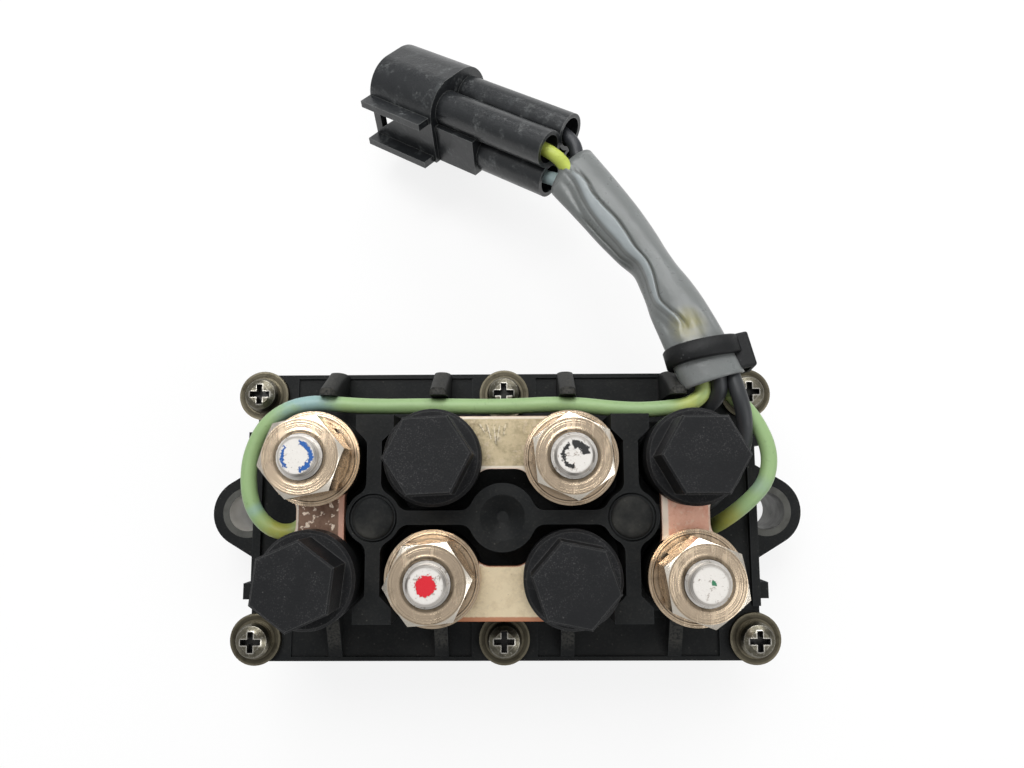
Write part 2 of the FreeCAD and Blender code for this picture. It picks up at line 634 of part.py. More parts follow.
def make_contacts(name, x, level):
    """The moulded carrier on the stem, with the rest bridge raised on a block."""
    top = level + s.carrier_thickness
    rest_top = case_top - s.head_thickness - s.contact_gap
    rest_low = rest_top - s.bridge_thickness
    drive_low = drive_head_top + s.stroke + s.contact_gap
    arm = box("carrier_arm_" + name, s.carrier_width, s.carrier_length, s.carrier_thickness, x, 0, level)
    tower = box("carrier_tower_" + name, s.carrier_width, s.bridge_width, rest_low - level, x,
                s.terminal_row, level)
    foot = box("carrier_foot_" + name, s.carrier_width, s.bridge_width, drive_low - level, x,
               -s.terminal_row, level)
    hole = rod("carrier_hole_" + name, s.stem_radius + s.fit_gap, top - level, x, 0, level)
    keep(cut("carrier_whole_" + name, fuse("carrier_solid_" + name, [arm, tower, foot]), hole),
         "contact_carrier_" + name)
    keep(box("rest_strip_" + name, s.rest_bridge_length, s.bridge_width, s.bridge_thickness, x,
             s.terminal_row, rest_low), "rest_bridge_" + name)
    keep(box("drive_strip_" + name, s.drive_bridge_length, s.bridge_width, s.bridge_thickness, x,
             -s.terminal_row, drive_low), "drive_bridge_" + name)


# Lead: tubes of straight runs joined by tangent arcs
def rounded_path(label, points):
    """Edges of the path, with each arc as large as its two runs allow."""
    nodes = [FreeCAD.Vector(*p) for p in points]
    edges = []
    here = nodes[0]
    radii = []
    for before, corner, after in zip(nodes, nodes[1:], nodes[2:]):
        into = (corner - before).normalize()
        out = (after - corner).normalize()
        reach = 0.45 * min((corner - before).Length, (after - corner).Length)
        half_turn = into.getAngle(out) / 2
        radius = reach / math.tan(half_turn)
        radii.append(round(radius, 1))
        start = corner - into * reach
        end = corner + out * reach
        inward = (out - into).normalize()
        centre = corner + inward * (radius / math.cos(half_turn))
        middle = centre - inward * radius
        edges.append(Part.LineSegment(here, start).toShape())
        edges.append(Part.Arc(start, middle, end).toShape())
        here = end
    edges.append(Part.LineSegment(here, nodes[-1]).toShape())
    wire = Part.Wire(edges)
    print("cord %s length %.2f radii %s" % (label, wire.Length, radii))
    return wire


def tube(label, points, radius):
    path = rounded_path(label, points)
    start = FreeCAD.Vector(*points[0])
    along = FreeCAD.Vector(*points[1]) - start
    section = Part.Wire(Part.makeCircle(radius.value, start, along))
    solid = path.makePipeShell([section], True, False)
    wanted = math.pi * radius.value ** 2 * path.Length
    print("cord %s volume %.2f of %.2f" % (label, solid.Volume, wanted))
    if abs(solid.Volume - wanted) > 0.01 * wanted:
        raise RuntimeError("cord %s has the wrong volume" % label)
    return solid


def make_cord(label, points, radius):
    item = doc.addObject("Part::Feature", label + "_tube")
    item.Shape = tube(label, points, radius)
    keep(item, label)


SHEATH = [(30.7, 19.2, 34.0), (28.9, 23.4, 34.0), (26.9, 28.6, 32.4), (24.8, 34.2, 29.6),
          (21.3, 40.6, 27.0), (16.6, 47.4, 24.3), (11.4, 55.4, 21.5)]
WIRES = {
    "wire_green_left": [(28.35, 20.6, 33.8), (28.75, 17.2, 33.6), (26.6, 15.75, 33.0), (22.3, 15.6, 32.4),
                        (14.0, 16.0, 32.4), (0.0, 16.1, 32.3), (-13.0, 15.8, 32.4), (-23.0, 15.9, 32.4),
                        (-30.4, 15.7, 32.4), (-35.0, 12.2, 32.4), (-36.5, 6.6, 32.4), (-35.9, 1.6, 32.2),
                        (-33.4, -1.2, 31.8), (-30.2, -1.5, 31.4), (-28.2, 0.0, 31.2), (-26.0, 0.0, 31.2)],
    "wire_green_right": [(30.8, 20.4, 32.6), (31.6, 18.0, 32.2), (33.9, 15.6, 32.0), (36.6, 12.7, 32.1),
                         (38.1, 9.0, 32.3), (37.7, 5.2, 32.3), (35.4, 2.2, 32.0), (32.4, 0.5, 31.5),
                         (29.2, 0.0, 31.2), (26.0, 0.0, 31.2)],
    "wire_black_long": [(32.3, 21.2, 34.3), (33.3, 17.6, 35.0), (34.2, 14.2, 34.6), (34.6, 10.6, 32.8),
                        (34.2, 7.0, 30.4), (32.3, 3.2, 28.0), (29.4, 0.0, 27.0), (26.0, 0.0, 27.0)],
    "wire_black_short": [(30.2, 20.9, 35.3), (30.9, 17.6, 35.1), (31.0, 14.8, 33.6), (30.9, 13.7, 30.2),
                         (30.9, 13.7, 24.7)],
}


def along_sheath():
    """Placement at the tie: local Z runs along the sheath."""
    here = FreeCAD.Vector(*SHEATH[1])
    before = FreeCAD.Vector(*SHEATH[0])
    after = FreeCAD.Vector(*SHEATH[2])
    direction = (after - before).normalize()
    sideways = FreeCAD.Vector(0, 0, 1).cross(direction).normalize()
    upward = direction.cross(sideways)
    turn = FreeCAD.Rotation(sideways, upward, direction, "ZXY")
    return FreeCAD.Placement(here, turn)


def make_tie():
    band_radius = (s.sheath_radius + s.fit_gap * 6).value
    outer = band_radius + s.tie_thickness.value
    low = FreeCAD.Vector(0, 0, -s.tie_width.value / 2)
    axis = FreeCAD.Vector(0, 0, 1)
    band = Part.makeCylinder(outer, s.tie_width.value, low, axis)
    head = Part.makeBox(s.tie_head_depth.value, s.tie_head_height.value, s.tie_head_length.value,
                        FreeCAD.Vector(-outer - s.tie_head_depth.value + 0.8, -s.tie_head_height.value / 2,
                                       -s.tie_head_length.value / 2))
    hole = Part.makeCylinder(band_radius, s.tie_head_length.value * 2,
                             FreeCAD.Vector(0, 0, -s.tie_head_length.value), axis)
    item = doc.addObject("Part::Feature", "tie_shape")
    item.Shape = band.fuse(head).cut(hole).removeSplitter()
    item.Placement = along_sheath()
    keep(item, "cable_tie")


# Plug: built along +X from the rear of its barrels, then set down at its place
def plug_placement():
    turn = FreeCAD.Rotation(s.plug_yaw.value, s.plug_pitch.value, s.plug_roll.value)
    return FreeCAD.Placement(FreeCAD.Vector(s.plug_x.value, s.plug_y.value, s.plug_z.value), turn)


CAVITIES = [(sy, sz) for sz in (1, -1) for sy in (1, -1)]


def rod_x(name, radius, length, x, y, z):
    """A rod that lies along X from x."""
    item = doc.addObject("Part::Cylinder", name)
    bind(item, "Radius", radius)
    bind(item, "Height", length)
    item.Placement.Rotation = FreeCAD.Rotation(FreeCAD.Vector(0, 1, 0), 90)
    return place(item, x, y, z)


def block_x(name, length, width, height, x, y, z):
    """A block from x along X, centred on y and standing on z."""
    return box(name, length, width, height, x + size(length) / 2, y, z)


def hood_block(name, length, inset, x):
    low = -s.hood_low + inset
    block = block_x(name + "_block", length, s.hood_width - 2 * inset, s.hood_high + s.hood_low - 2 * inset,
                    x, size(0), low)
    top = (s.hood_high - inset).value

    def top_edge(edge):
        flat = all(abs(v.Z - top) < 0.001 for v in edge.Vertexes)
        return flat and edge.BoundBox.YLength < 0.01

    return round_edges(name, block, s.hood_rounding - inset, top_edge)


def make_plug():
    hood_start = s.barrel_length
    half_pitch = s.barrel_pitch / 2
    solids = [hood_block("hood", s.hood_length, size(0), hood_start)]
    step_height = s.step_low + s.step_high
    solids.append(block_x("step_block", hood_start - s.step_start, 2 * s.step_half_width, step_height,
                          s.step_start, size(0), -s.step_low))
    for name, level in (("upper", s.ledge_high), ("lower", s.ledge_low)):
        solids.append(block_x("ledge_" + name, s.hood_length - 0.6, s.ledge_reach * 2, s.ledge_thickness,
                              hood_start + 0.6, s.hood_width / 2, level - s.ledge_thickness / 2))
    hollows = [hood_block("hood_room", s.hood_length - s.hood_floor, s.hood_wall,
                          hood_start + s.hood_floor)]
    window_start = hood_start + s.hood_length - 1.6
    window = plate("latch_window", [
        (window_start - s.window_length, s.ledge_high - s.ledge_thickness),
        (window_start, s.ledge_high - s.ledge_thickness),
        (window_start, s.ledge_high - s.ledge_thickness - s.window_height)], s.hood_wall * 3, "XZ_Plane",
        y=s.hood_width / 2 + s.hood_wall)
    hollows.append(window)
    for number, (sy, sz) in enumerate(CAVITIES):
        y, z = half_pitch * sy, half_pitch * sz
        solids.append(rod_x("barrel_%d" % number, s.barrel_radius, hood_start + 0.5, size(0), y, z))
        hollows.append(rod_x("barrel_bore_%d" % number, s.barrel_bore, s.barrel_bore_depth, size(0), y, z))
        hollows.append(block_x("pin_slot_%d" % number, hood_start + s.hood_floor - s.barrel_bore_depth + 1,
                               s.pin_width + 2 * s.fit_gap, s.pin_thickness + 2 * s.fit_gap,
                               s.barrel_bore_depth - 1, y, z - s.pin_thickness / 2 - s.fit_gap))
    housing = cut("plug_whole", fuse("plug_solids", solids), fuse("plug_hollows", hollows))
    set_down(housing, "connector_housing")
    pins, seals = [], []
    for number, (sy, sz) in enumerate(CAVITIES):
        y, z = half_pitch * sy, half_pitch * sz
        pins.append(block_x("pin_%d" % number, hood_start + s.hood_floor + s.pin_reach - s.barrel_bore_depth,
                            s.pin_width, s.pin_thickness, s.barrel_bore_depth, y, z - s.pin_thickness / 2))
        outer = rod_x("seal_outer_%d" % number, s.barrel_bore - s.fit_gap, s.lead_seal_length,
                      s.lead_seal_inset, y, z)
        inner = rod_x("seal_inner_%d" % number, s.wire_radius + s.fit_gap, s.lead_seal_length,
                      s.lead_seal_inset, y, z)
        seals.append(cut("lead_seal_%d" % number, outer, inner))
    set_down(group("pin_group", pins), "connector_pins")
    set_down(group("seal_group", seals), "connector_seals")


def set_down(item, label):
    """Copy a piece of the plug, built about the origin, to where the plug lies."""
    doc.recompute()
    item.Placement = plug_placement()
    keep(item, label)


def make_leads():
    """Short ends of the wires between the sheath and the plug's barrels."""
    spot = plug_placement()
    end = FreeCAD.Vector(*SHEATH[-1])
    along = (end - FreeCAD.Vector(*SHEATH[-2])).normalize()
    half_pitch = s.barrel_pitch.value / 2
    tubes = []
    for number, (sy, sz) in enumerate(CAVITIES):
        inside = spot.multVec(FreeCAD.Vector(s.barrel_bore_depth.value - 0.5, half_pitch * sy, half_pitch * sz))
        mouth = spot.multVec(FreeCAD.Vector(-0.6, half_pitch * sy, half_pitch * sz))
        centre = spot.multVec(FreeCAD.Vector(-0.6, 0, 0))
        spread = (mouth - centre) * (1.35 / half_pitch)
        sideways = spread - along * spread.dot(along)
        tubes.append(tube("lead_%d" % number, [inside, mouth, end + sideways], s.wire_radius))
    item = doc.addObject("Part::Feature", "lead_tubes")
    item.Shape = Part.makeCompound(tubes)
    keep(item, "connector_leads")


STUDS = {"stud_blue": 0, "stud_black": 2, "stud_red": 5, "stud_green": 7}
NUT_TURNS = {0: 11.0, 2: 36.0, 5: 5.0, 7: 39.0}
WASHER_TURNS = {0: 40.0, 2: 300.0, 5: 330.0, 7: 140.0}
CONTACT_BOLTS = {"contact_bolt_rear_left": (1, 3.0), "contact_bolt_rear_right": (3, 0.0),
                 "contact_bolt_front_left": (4, 23.5), "contact_bolt_front_right": (6, 49.0)}

keep(make_lower_case(), "lower_case")
keep(make_terminal_block(), "terminal_block")
keep(seal_ring("case_seal_ring", case_top - s.seal_depth, s.seal_depth), "case_seal")
keep(group("collar_group", [
    ring("collar_" + side_name, s.collar_bore + s.collar_wall, s.collar_bore, s.ear_height,
         s.ear_offset * side_sign) for side_name, side_sign in SIDES]), "ear_collars")
for screw in SCREWS:
    make_case_screw(*screw)
make_case_washers()
for stud_name, stud_number in STUDS.items():
    make_stud(stud_name, stud_number)
    make_nut("nut_" + stud_name.split("_")[1], stud_number, NUT_TURNS[stud_number])
keep(group("spring_washer_group", [make_spring_washer(n, WASHER_TURNS[n]) for n in STUDS.values()]),
     "spring_washers")
keep(group("flat_washer_group", [
    ring("flat_washer_%d" % n, s.washer_radius, s.stud_radius + 2 * s.fit_gap, s.washer_height,
         TERMINALS[n][0], TERMINALS[n][1], bar_top) for n in STUDS.values()]), "flat_washers")
for bolt_name, (bolt_number, bolt_turn) in CONTACT_BOLTS.items():
    make_contact_bolt(bolt_name, bolt_number, bolt_turn)
keep(group("contact_post_group", [make_contact_post(n) for n, turn in CONTACT_BOLTS.values()]),
     "contact_posts")
make_bar("bus_bar_rear", 1, 2, True)
make_bar("bus_bar_front", 5, 6, True)
make_bar("bus_bar_left", 0, 4, False)
make_bar("bus_bar_right", 3, 7, False)
for side_name, side_sign in SIDES:
    make_solenoid(side_name, side_sign)
for wire_name, wire_points in WIRES.items():
    make_cord(wire_name, wire_points, s.wire_radius)
make_cord("harness_sheath", SHEATH, s.sheath_radius)
make_tie()
make_plug()
make_leads()

doc.recompute()
for item in doc.Objects:
    if "Invalid" in item.State or "Error" in item.State:
        raise RuntimeError("%s did not build: %s" % (item.Label, item.State))
os.makedirs("parts", exist_ok=True)
for item in parts:
    if item.Shape.isNull() or not item.Shape.isValid():
        raise RuntimeError("%s is not a valid shape" % item.Label)
    item.Shape.exportStep("parts/%s.step" % item.Label)
    b = item.Shape.BoundBox
    print("%-26s solids %d volume %9.1f  z %.2f to %.2f" % (
        item.Label, len(item.Shape.Solids), item.Shape.Volume, b.ZMin, b.ZMax))
print("nodes", len(parts))
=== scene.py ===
import math

import bmesh
import bpy
from mathutils import Euler, Matrix, Vector, noise


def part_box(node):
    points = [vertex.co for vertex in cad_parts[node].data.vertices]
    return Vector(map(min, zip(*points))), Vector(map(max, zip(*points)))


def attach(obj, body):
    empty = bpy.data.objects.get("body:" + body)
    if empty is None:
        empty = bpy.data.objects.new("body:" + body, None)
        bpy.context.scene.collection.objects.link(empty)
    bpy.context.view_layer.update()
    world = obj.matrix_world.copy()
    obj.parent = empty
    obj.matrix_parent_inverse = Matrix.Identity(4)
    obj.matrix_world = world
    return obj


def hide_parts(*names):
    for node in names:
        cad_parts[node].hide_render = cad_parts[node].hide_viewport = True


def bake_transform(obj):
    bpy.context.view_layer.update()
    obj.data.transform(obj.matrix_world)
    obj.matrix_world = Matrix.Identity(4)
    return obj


bl_info = {
    "name": "Trim tilt relay",
    "version": (1, 0, 0),
    "blender": (4, 5, 0),
    "location": "3D View > Sidebar > Relay",
    "description": "Finishes, wires, sleeve and stage of a trim tilt relay",
    "category": "Object",
}

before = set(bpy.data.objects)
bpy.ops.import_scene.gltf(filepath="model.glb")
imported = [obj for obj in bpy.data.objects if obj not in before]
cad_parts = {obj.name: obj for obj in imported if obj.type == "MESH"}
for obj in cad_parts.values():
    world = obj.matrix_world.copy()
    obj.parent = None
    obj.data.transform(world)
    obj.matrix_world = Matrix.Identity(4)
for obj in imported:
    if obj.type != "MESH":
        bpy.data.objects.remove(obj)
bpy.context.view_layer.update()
MM = 0.001

# Places of the eight terminals, rear row first, left to right
TERMINALS = [(x * MM, y * MM) for y in (8.07, -8.07) for x in (-26.0, -9.4, 9.4, 26.0)]
STUDS = {"blue": TERMINALS[0], "black": TERMINALS[2], "red": TERMINALS[5], "green": TERMINALS[7]}
BOLTS = {"rear_left": TERMINALS[1], "rear_right": TERMINALS[3],
         "front_left": TERMINALS[4], "front_right": TERMINALS[6]}
SCREWS = {"rear_left": (-37.0, 18.2), "rear_middle": (0.0, 18.2), "rear_right": (37.0, 18.2),
          "front_left": (-37.0, -18.2), "front_middle": (0.0, -18.2), "front_right": (37.0, -18.2)}

# Routes in millimetres: the control points of each wire's smooth line
SHEATH = [
    (30.7, 19.2, 34.0), (28.9, 23.4, 34.0), (26.9, 28.6, 32.4), (24.8, 34.2, 29.6), (21.3, 40.6, 27.0),
    (16.6, 47.4, 24.3), (11.4, 55.4, 21.5)]
WIRES = {
    "wire_green_left": [
        (28.5, 20.8, 33.8), (29.2, 17.9, 33.6), (27.4, 15.9, 33.2), (23.6, 15.2, 32.9), (18.0, 15.0, 32.6),
        (9.0, 16.1, 32.3), (0.0, 15.6, 32.3), (-10.0, 15.8, 32.4), (-20.0, 15.7, 32.4), (-28.6, 16.6, 32.4),
        (-33.9, 14.1, 32.4), (-36.4, 9.4, 32.4), (-36.7, 4.4, 32.4), (-35.6, 0.6, 32.3), (-33.1, -1.9, 32.0),
        (-30.2, -2.3, 31.6), (-28.4, -0.7, 31.3), (-26.0, 0.0, 31.2)],
    "wire_green_right": [
        (30.8, 20.4, 32.6), (31.6, 18.2, 32.2), (34.3, 16.4, 32.0), (36.9, 12.9, 32.1), (38.3, 8.9, 32.3),
        (37.7, 5.0, 32.3), (35.5, 2.4, 32.1), (32.9, 0.2, 31.5), (31.3, -1.1, 30.2), (30.6, -1.8, 27.9),
        (30.6, -1.8, 25.4)],
    "wire_black_long": [
        (32.3, 21.2, 34.3), (33.3, 17.6, 35.0), (34.2, 14.2, 34.6), (34.6, 10.6, 32.8), (34.2, 7.0, 30.4),
        (32.3, 3.6, 28.0), (29.4, 0.8, 26.8), (26.0, 0.6, 26.8)],
    "wire_black_short": [
        (30.2, 20.9, 35.3), (31.0, 18.4, 34.8), (30.7, 16.6, 33.4), (29.3, 15.1, 30.6), (29.1, 14.9, 24.7)],
}

# Where the plug lies, in millimetres, and its four cavities: their sides, reach and mouth, and how far the
# leads go in, spread at the sleeve and run on inside it; then their share of a wire's thickness and of that
# spread where they meet the sleeve
PLUG_PLACE = Matrix.Translation((9.3, 58.7, 20.9)) @ Euler(
    (math.radians(25.1), math.radians(20.5), math.radians(147.6)), "XYZ").to_matrix().to_4x4()
CAVITIES = [(sy, sz) for sz in (1, -1) for sy in (1, -1)]
CAVITY_REACH, CAVITY_MOUTH, LEAD_DEPTH, LEAD_SPREAD, LEAD_RUN = 2.9, -0.6, 7.5, 1.35, 6.0
LEAD_THICKNESS, LEAD_GATHER = 0.98, 0.8

# Return springs, in metres, and the number of sides of the round meshes
SPRING_RADIUS, SPRING_WIRE, SPRING_TURNS = 0.0014, 0.00022, 6
BUTTON_SIDES, STRAP_STEPS, SLEEVE_SIDES = 64, 72, 192


def srgb(red, green, blue):
    """A colour written from 0 to 255 as a shader takes it."""
    channels = []
    for channel in (red, green, blue):
        value = channel / 255
        channels.append(value / 12.92 if value <= 0.04045 else ((value + 0.055) / 1.055) ** 2.4)
    return (*channels, 1.0)


def toned(colour, gain, lift=0.0):
    """A lighter or darker form of a colour."""
    return (*(min(1.0, channel * gain + lift) for channel in colour[:3]), 1.0)


def tint(name, description, default):
    return bpy.props.FloatVectorProperty(name=name, description=description, subtype="COLOR", size=4,
                                         min=0.0, max=1.0, default=default)


def length(name, description, default):
    return bpy.props.FloatProperty(name=name, description=description, unit="LENGTH", subtype="DISTANCE",
                                   min=0.0, default=default)


class RelayPlastics(bpy.types.PropertyGroup):
    case: tint("Case", "Moulded case", srgb(15, 17, 18))
    block: tint("Terminal block", "Moulded terminal block", srgb(17, 19, 20))
    plug: tint("Plug", "Plug housing", srgb(28, 30, 32))
    dust: tint("Dust", "Dust that lies in corners", srgb(104, 102, 96))
    edge: length("Edge rounding", "Radius of the moulded edges", 0.00022)


class RelayMetals(bpy.types.PropertyGroup):
    nickel: tint("Nickel", "Nuts and washers", srgb(230, 208, 180))
    chromate: tint("Chromate", "Case screws and their washers", srgb(124, 119, 104))
    bolt: tint("Black bolt", "Contact bolts", srgb(17, 18, 20))
    rear_bar: tint("Rear bar", "Tinned bar at the rear", srgb(206, 190, 156))
    front_bar: tint("Front bar", "Tinned bar at the front", srgb(250, 232, 196))
    left_bar: tint("Left bar", "Bare copper bar at the left", srgb(146, 118, 100))
    right_bar: tint("Right bar", "Bare copper bar at the right", srgb(238, 188, 164))


class RelayWiring(bpy.types.PropertyGroup):
    green: tint("Green wire", "Green insulation", srgb(140, 168, 116))
    blue_patch: tint("Blue patch", "Faded blue areas of the green wires", srgb(134, 166, 172))
    yellowed: tint("Yellowed ends", "Ends of the green wires, yellowed by age", srgb(158, 156, 62))
    black: tint("Black wire", "Dark insulation", srgb(44, 46, 48))
    sheath: tint("Sleeve", "Grey vinyl sleeve", srgb(108, 111, 110))
    tie: tint("Tie", "Black cable tie", srgb(15, 16, 17))
    wire_radius: length("Wire radius", "Outside radius of a wire", 0.00114)
    sheath_wall: length("Sleeve wall", "Wall of the vinyl sleeve", 0.0005)


class Signal:
    """A socket's output. Adding, multiplying or comparing it adds Math nodes."""

    def __init__(self, maker, node, output):
        self.maker = maker
        self.node = node
        self.socket = node.outputs[output] if node.outputs else None

    def math(self, operation, *values):
        sockets = dict(enumerate(values))
        return self.maker.node("Math", {"operation": operation}, sockets)

    def __add__(self, other):
        return self.math("ADD", self, other)

    __radd__ = __add__

    def __mul__(self, other):
        return self.math("MULTIPLY", self, other)

    __rmul__ = __mul__

    def __sub__(self, other):
        return self.math("SUBTRACT", self, other)

    def __rsub__(self, other):
        return self.math("SUBTRACT", other, self)

    def __pow__(self, other):
        return self.math("POWER", self, other)

    def __abs__(self):
        return self.math("ABSOLUTE", self)

    def least(self, other):
        return self.math("MINIMUM", self, other)

    def most(self, other):
        return self.math("MAXIMUM", self, other)

    def step(self, low, high):
        """0 below low, 1 above high and smooth between."""
        return self.maker.node("MapRange", {"interpolation_type": "SMOOTHSTEP"},
                                {"Value": self, "From Min": low, "From Max": high})

    def fall(self, low, high):
        """1 below low, 0 above high and smooth between."""
        return 1 - self.step(low, high)

    def band(self, low, high, soft):
        """1 between low and high, fading over soft outside them."""
        return self.step(low - soft, low) * self.fall(high, high + soft)


class Maker:
    """Adds nodes to the node tree of a material or of the world."""

    def __init__(self, tree):
        self.tree = tree
        self.tree.nodes.clear()

    def node(self, kind, settings, sockets, output=0):
        """Add a shader node of this kind. Its settings come first, then its sockets."""
        node = self.tree.nodes.new("ShaderNode" + kind)
        for name, value in settings.items():
            if name == "stops":
                self.set_stops(node.color_ramp.elements, value)
            else:
                setattr(node, name, value)
        for name, value in sockets.items():
            self.feed(node, name, value)
        return Signal(self, node, output)

    def set_stops(self, elements, stops):
        elements.remove(elements[1])
        elements[0].position, elements[0].color = stops[0]
        for position, colour in stops[1:]:
            elements.new(position).color = colour

    def feed(self, node, name, value):
        if isinstance(value, Signal):
            self.tree.links.new(value.socket, node.inputs[name])
        else:
            node.inputs[name].default_value = value

    def rays(self):
        """Light that goes to the camera, to glossy surfaces and through clear ones."""
        return (self.node("LightPath", {}, {}, "Is %s Ray" % kind)
                for kind in ("Camera", "Glossy", "Transmission"))


class Finish(Maker):
    """A procedural material that is made node by node."""

    def __init__(self, name, colour, roughness, **settings):
        self.material = bpy.data.materials.new(name)
        self.material.use_nodes = True
        super().__init__(self.material.node_tree)
        fixed = {socket.replace("_", " "): value for socket, value in settings.items()}
        self.shader = self.node("BsdfPrincipled", {}, {
            "Base Color": colour, "Roughness": roughness, **fixed})
        self.sink = self.node("OutputMaterial", {}, {"Surface": self.shader})
        self.material.diffuse_color = colour

    def place(self):
        """Where the point is on its object, in metres."""
        return self.node("TexCoord", {}, {}, "Object")

    def axes(self, vector=None):
        vector = vector or self.place()
        return [self.node("SeparateXYZ", {}, {0: vector}, axis) for axis in "XYZ"]

    def vector(self, x, y=0.0, z=0.0):
        return self.node("CombineXYZ", {}, {0: x, 1: y, 2: z})

    def stretched(self, scale):
        """The point on its object, scaled along each axis."""
        return self.node("VectorMath", {"operation": "MULTIPLY"}, {0: self.place(), 1: scale})

    def away_from(self, centre):
        return self.node("VectorMath", {"operation": "DISTANCE"}, {0: self.place(), 1: centre}, "Value")

    def noise(self, size, detail=3.0, roughness=0.55, vector=None):
        """Cloudy values with features of this size in metres."""
        return self.node("TexNoise", {}, {
            "Vector": vector or self.place(), "Scale": 1 / size, "Detail": detail, "Roughness": roughness})

    def specks(self, size, vector=None):
        """Distance to the nearest of many scattered points, in cells."""
        return self.node("TexVoronoi", {}, {
            "Vector": vector or self.place(), "Scale": 1 / size}, "Distance")

    def mix(self, factor, first, second):
        """first where factor is 0, second where it is 1."""
        return self.node("Mix", {"data_type": "RGBA"}, {0: factor, 6: first, 7: second}, 2)

    def facing_up(self):
        normal = self.node("NewGeometry", {}, {}, "Normal")
        return self.node("SeparateXYZ", {}, {0: normal}, "Z")

    def worn_edges(self, radius):
        """1 on sharp outer edges, fading over radius."""
        flat = self.node("NewGeometry", {}, {}, "Normal")
        rounded = self.node("Bevel", {"samples": 6}, {"Radius": radius})
        alike = self.node("VectorMath", {"operation": "DOT_PRODUCT"}, {0: flat, 1: rounded}, "Value")
        return (1 - alike).step(0.01, 0.18)

    def corners(self, distance):
        """1 deep in corners and hollows."""
        open_sky = self.node("AmbientOcclusion", {"samples": 8}, {"Distance": distance}, "AO")
        return (1 - open_sky).step(0.15, 0.85)

    def from_centres(self, centres):
        """Distance in plan to the nearest of these centres."""
        x, y, _ = self.axes()
        nearest = None
        for centre in centres:
            squared = (x - centre[0]) ** 2.0 + (y - centre[1]) ** 2.0
            nearest = squared if nearest is None else nearest.least(squared)
        return nearest ** 0.5

    def colour(self, signal):
        self.feed(self.shader.node, "Base Color", signal)

    def metal(self, signal):
        self.feed(self.shader.node, "Metallic", signal)

    def surface(self, colour, roughness, height, depth):
        """Colour, roughness and bumps of this depth in metres, where height goes from 0 to 1."""
        self.colour(colour)
        self.feed(self.shader.node, "Roughness", roughness)
        bump = self.node("Bump", {}, {"Strength": 1.0, "Distance": depth, "Height": height})
        self.feed(self.shader.node, "Normal", bump)


def dress(finish, *nodes, edge=0.0):
    """Give CAD nodes a finish and, where edge is given, round their sharp edges by it."""
    for name in nodes:
        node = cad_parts[name]
        node.data.materials.clear()
        node.data.materials.append(finish.material)
        if edge:
            bevel = node.modifiers.new("edge", "BEVEL")
            bevel.width = edge
            bevel.segments = 2
            bevel.limit_method = "ANGLE"
            bevel.angle_limit = math.radians(40)
            bevel.harden_normals = False


def moulded(name, colour, dust, roughness, dust_share, corner_share, dust_and_highlight_rows=None):
    """Matt moulded plastic: fine grain, dust in corners and paler worn edges. The last argument, where given:
    rows of posts and ribs beyond this reach from the middle and above this level catch more dust and a
    painted highlight on their up-facing tops."""
    finish = Finish(name, colour, roughness, Specular_IOR_Level=0.18)
    cloud = finish.noise(0.006, 4.0, 0.6)
    grain = finish.noise(0.00035, 2.0, 0.5)
    speck = finish.specks(0.0011).fall(0.05, 0.16)
    # Dust and a painted highlight on the up-facing tops of the rows of posts and ribs
    ledge_dust_and_highlight = 0.0
    if dust_and_highlight_rows:
        _, y, z = finish.axes()
        ledge_dust_and_highlight = abs(y).step(dust_and_highlight_rows[0], dust_and_highlight_rows[0] + 0.0008) * z.step(dust_and_highlight_rows[1], dust_and_highlight_rows[1] + 0.0012)
        ledge_dust_and_highlight = ledge_dust_and_highlight * grain.step(0.25, 0.6) * finish.facing_up().step(-0.2, 0.7) * 0.28
    pale = cloud.step(0.35, 0.75) * dust_share + finish.corners(0.003) * corner_share
    pale = pale + speck * 0.3 * cloud.step(0.4, 0.65) + grain.step(0.5, 0.75) * 0.05 + ledge_dust_and_highlight
    worn = finish.worn_edges(0.0003)
    finish.surface(finish.mix(worn * 0.6, finish.mix(pale, colour, dust), toned(colour, 2.6, 0.004)),
                   pale * 0.35 + roughness + grain * 0.1 - worn * 0.14, grain * 0.6 + cloud * 0.4, 0.00006)
    return finish


def rubber(name, colour):
    finish = Finish(name, colour, 0.7)
    grain = finish.noise(0.0005, 3.0)
    finish.surface(finish.mix(grain.step(0.4, 0.8) * 0.5, colour, srgb(78, 78, 74)), grain * 0.2 + 0.6,
                   grain, 0.00004)
    return finish


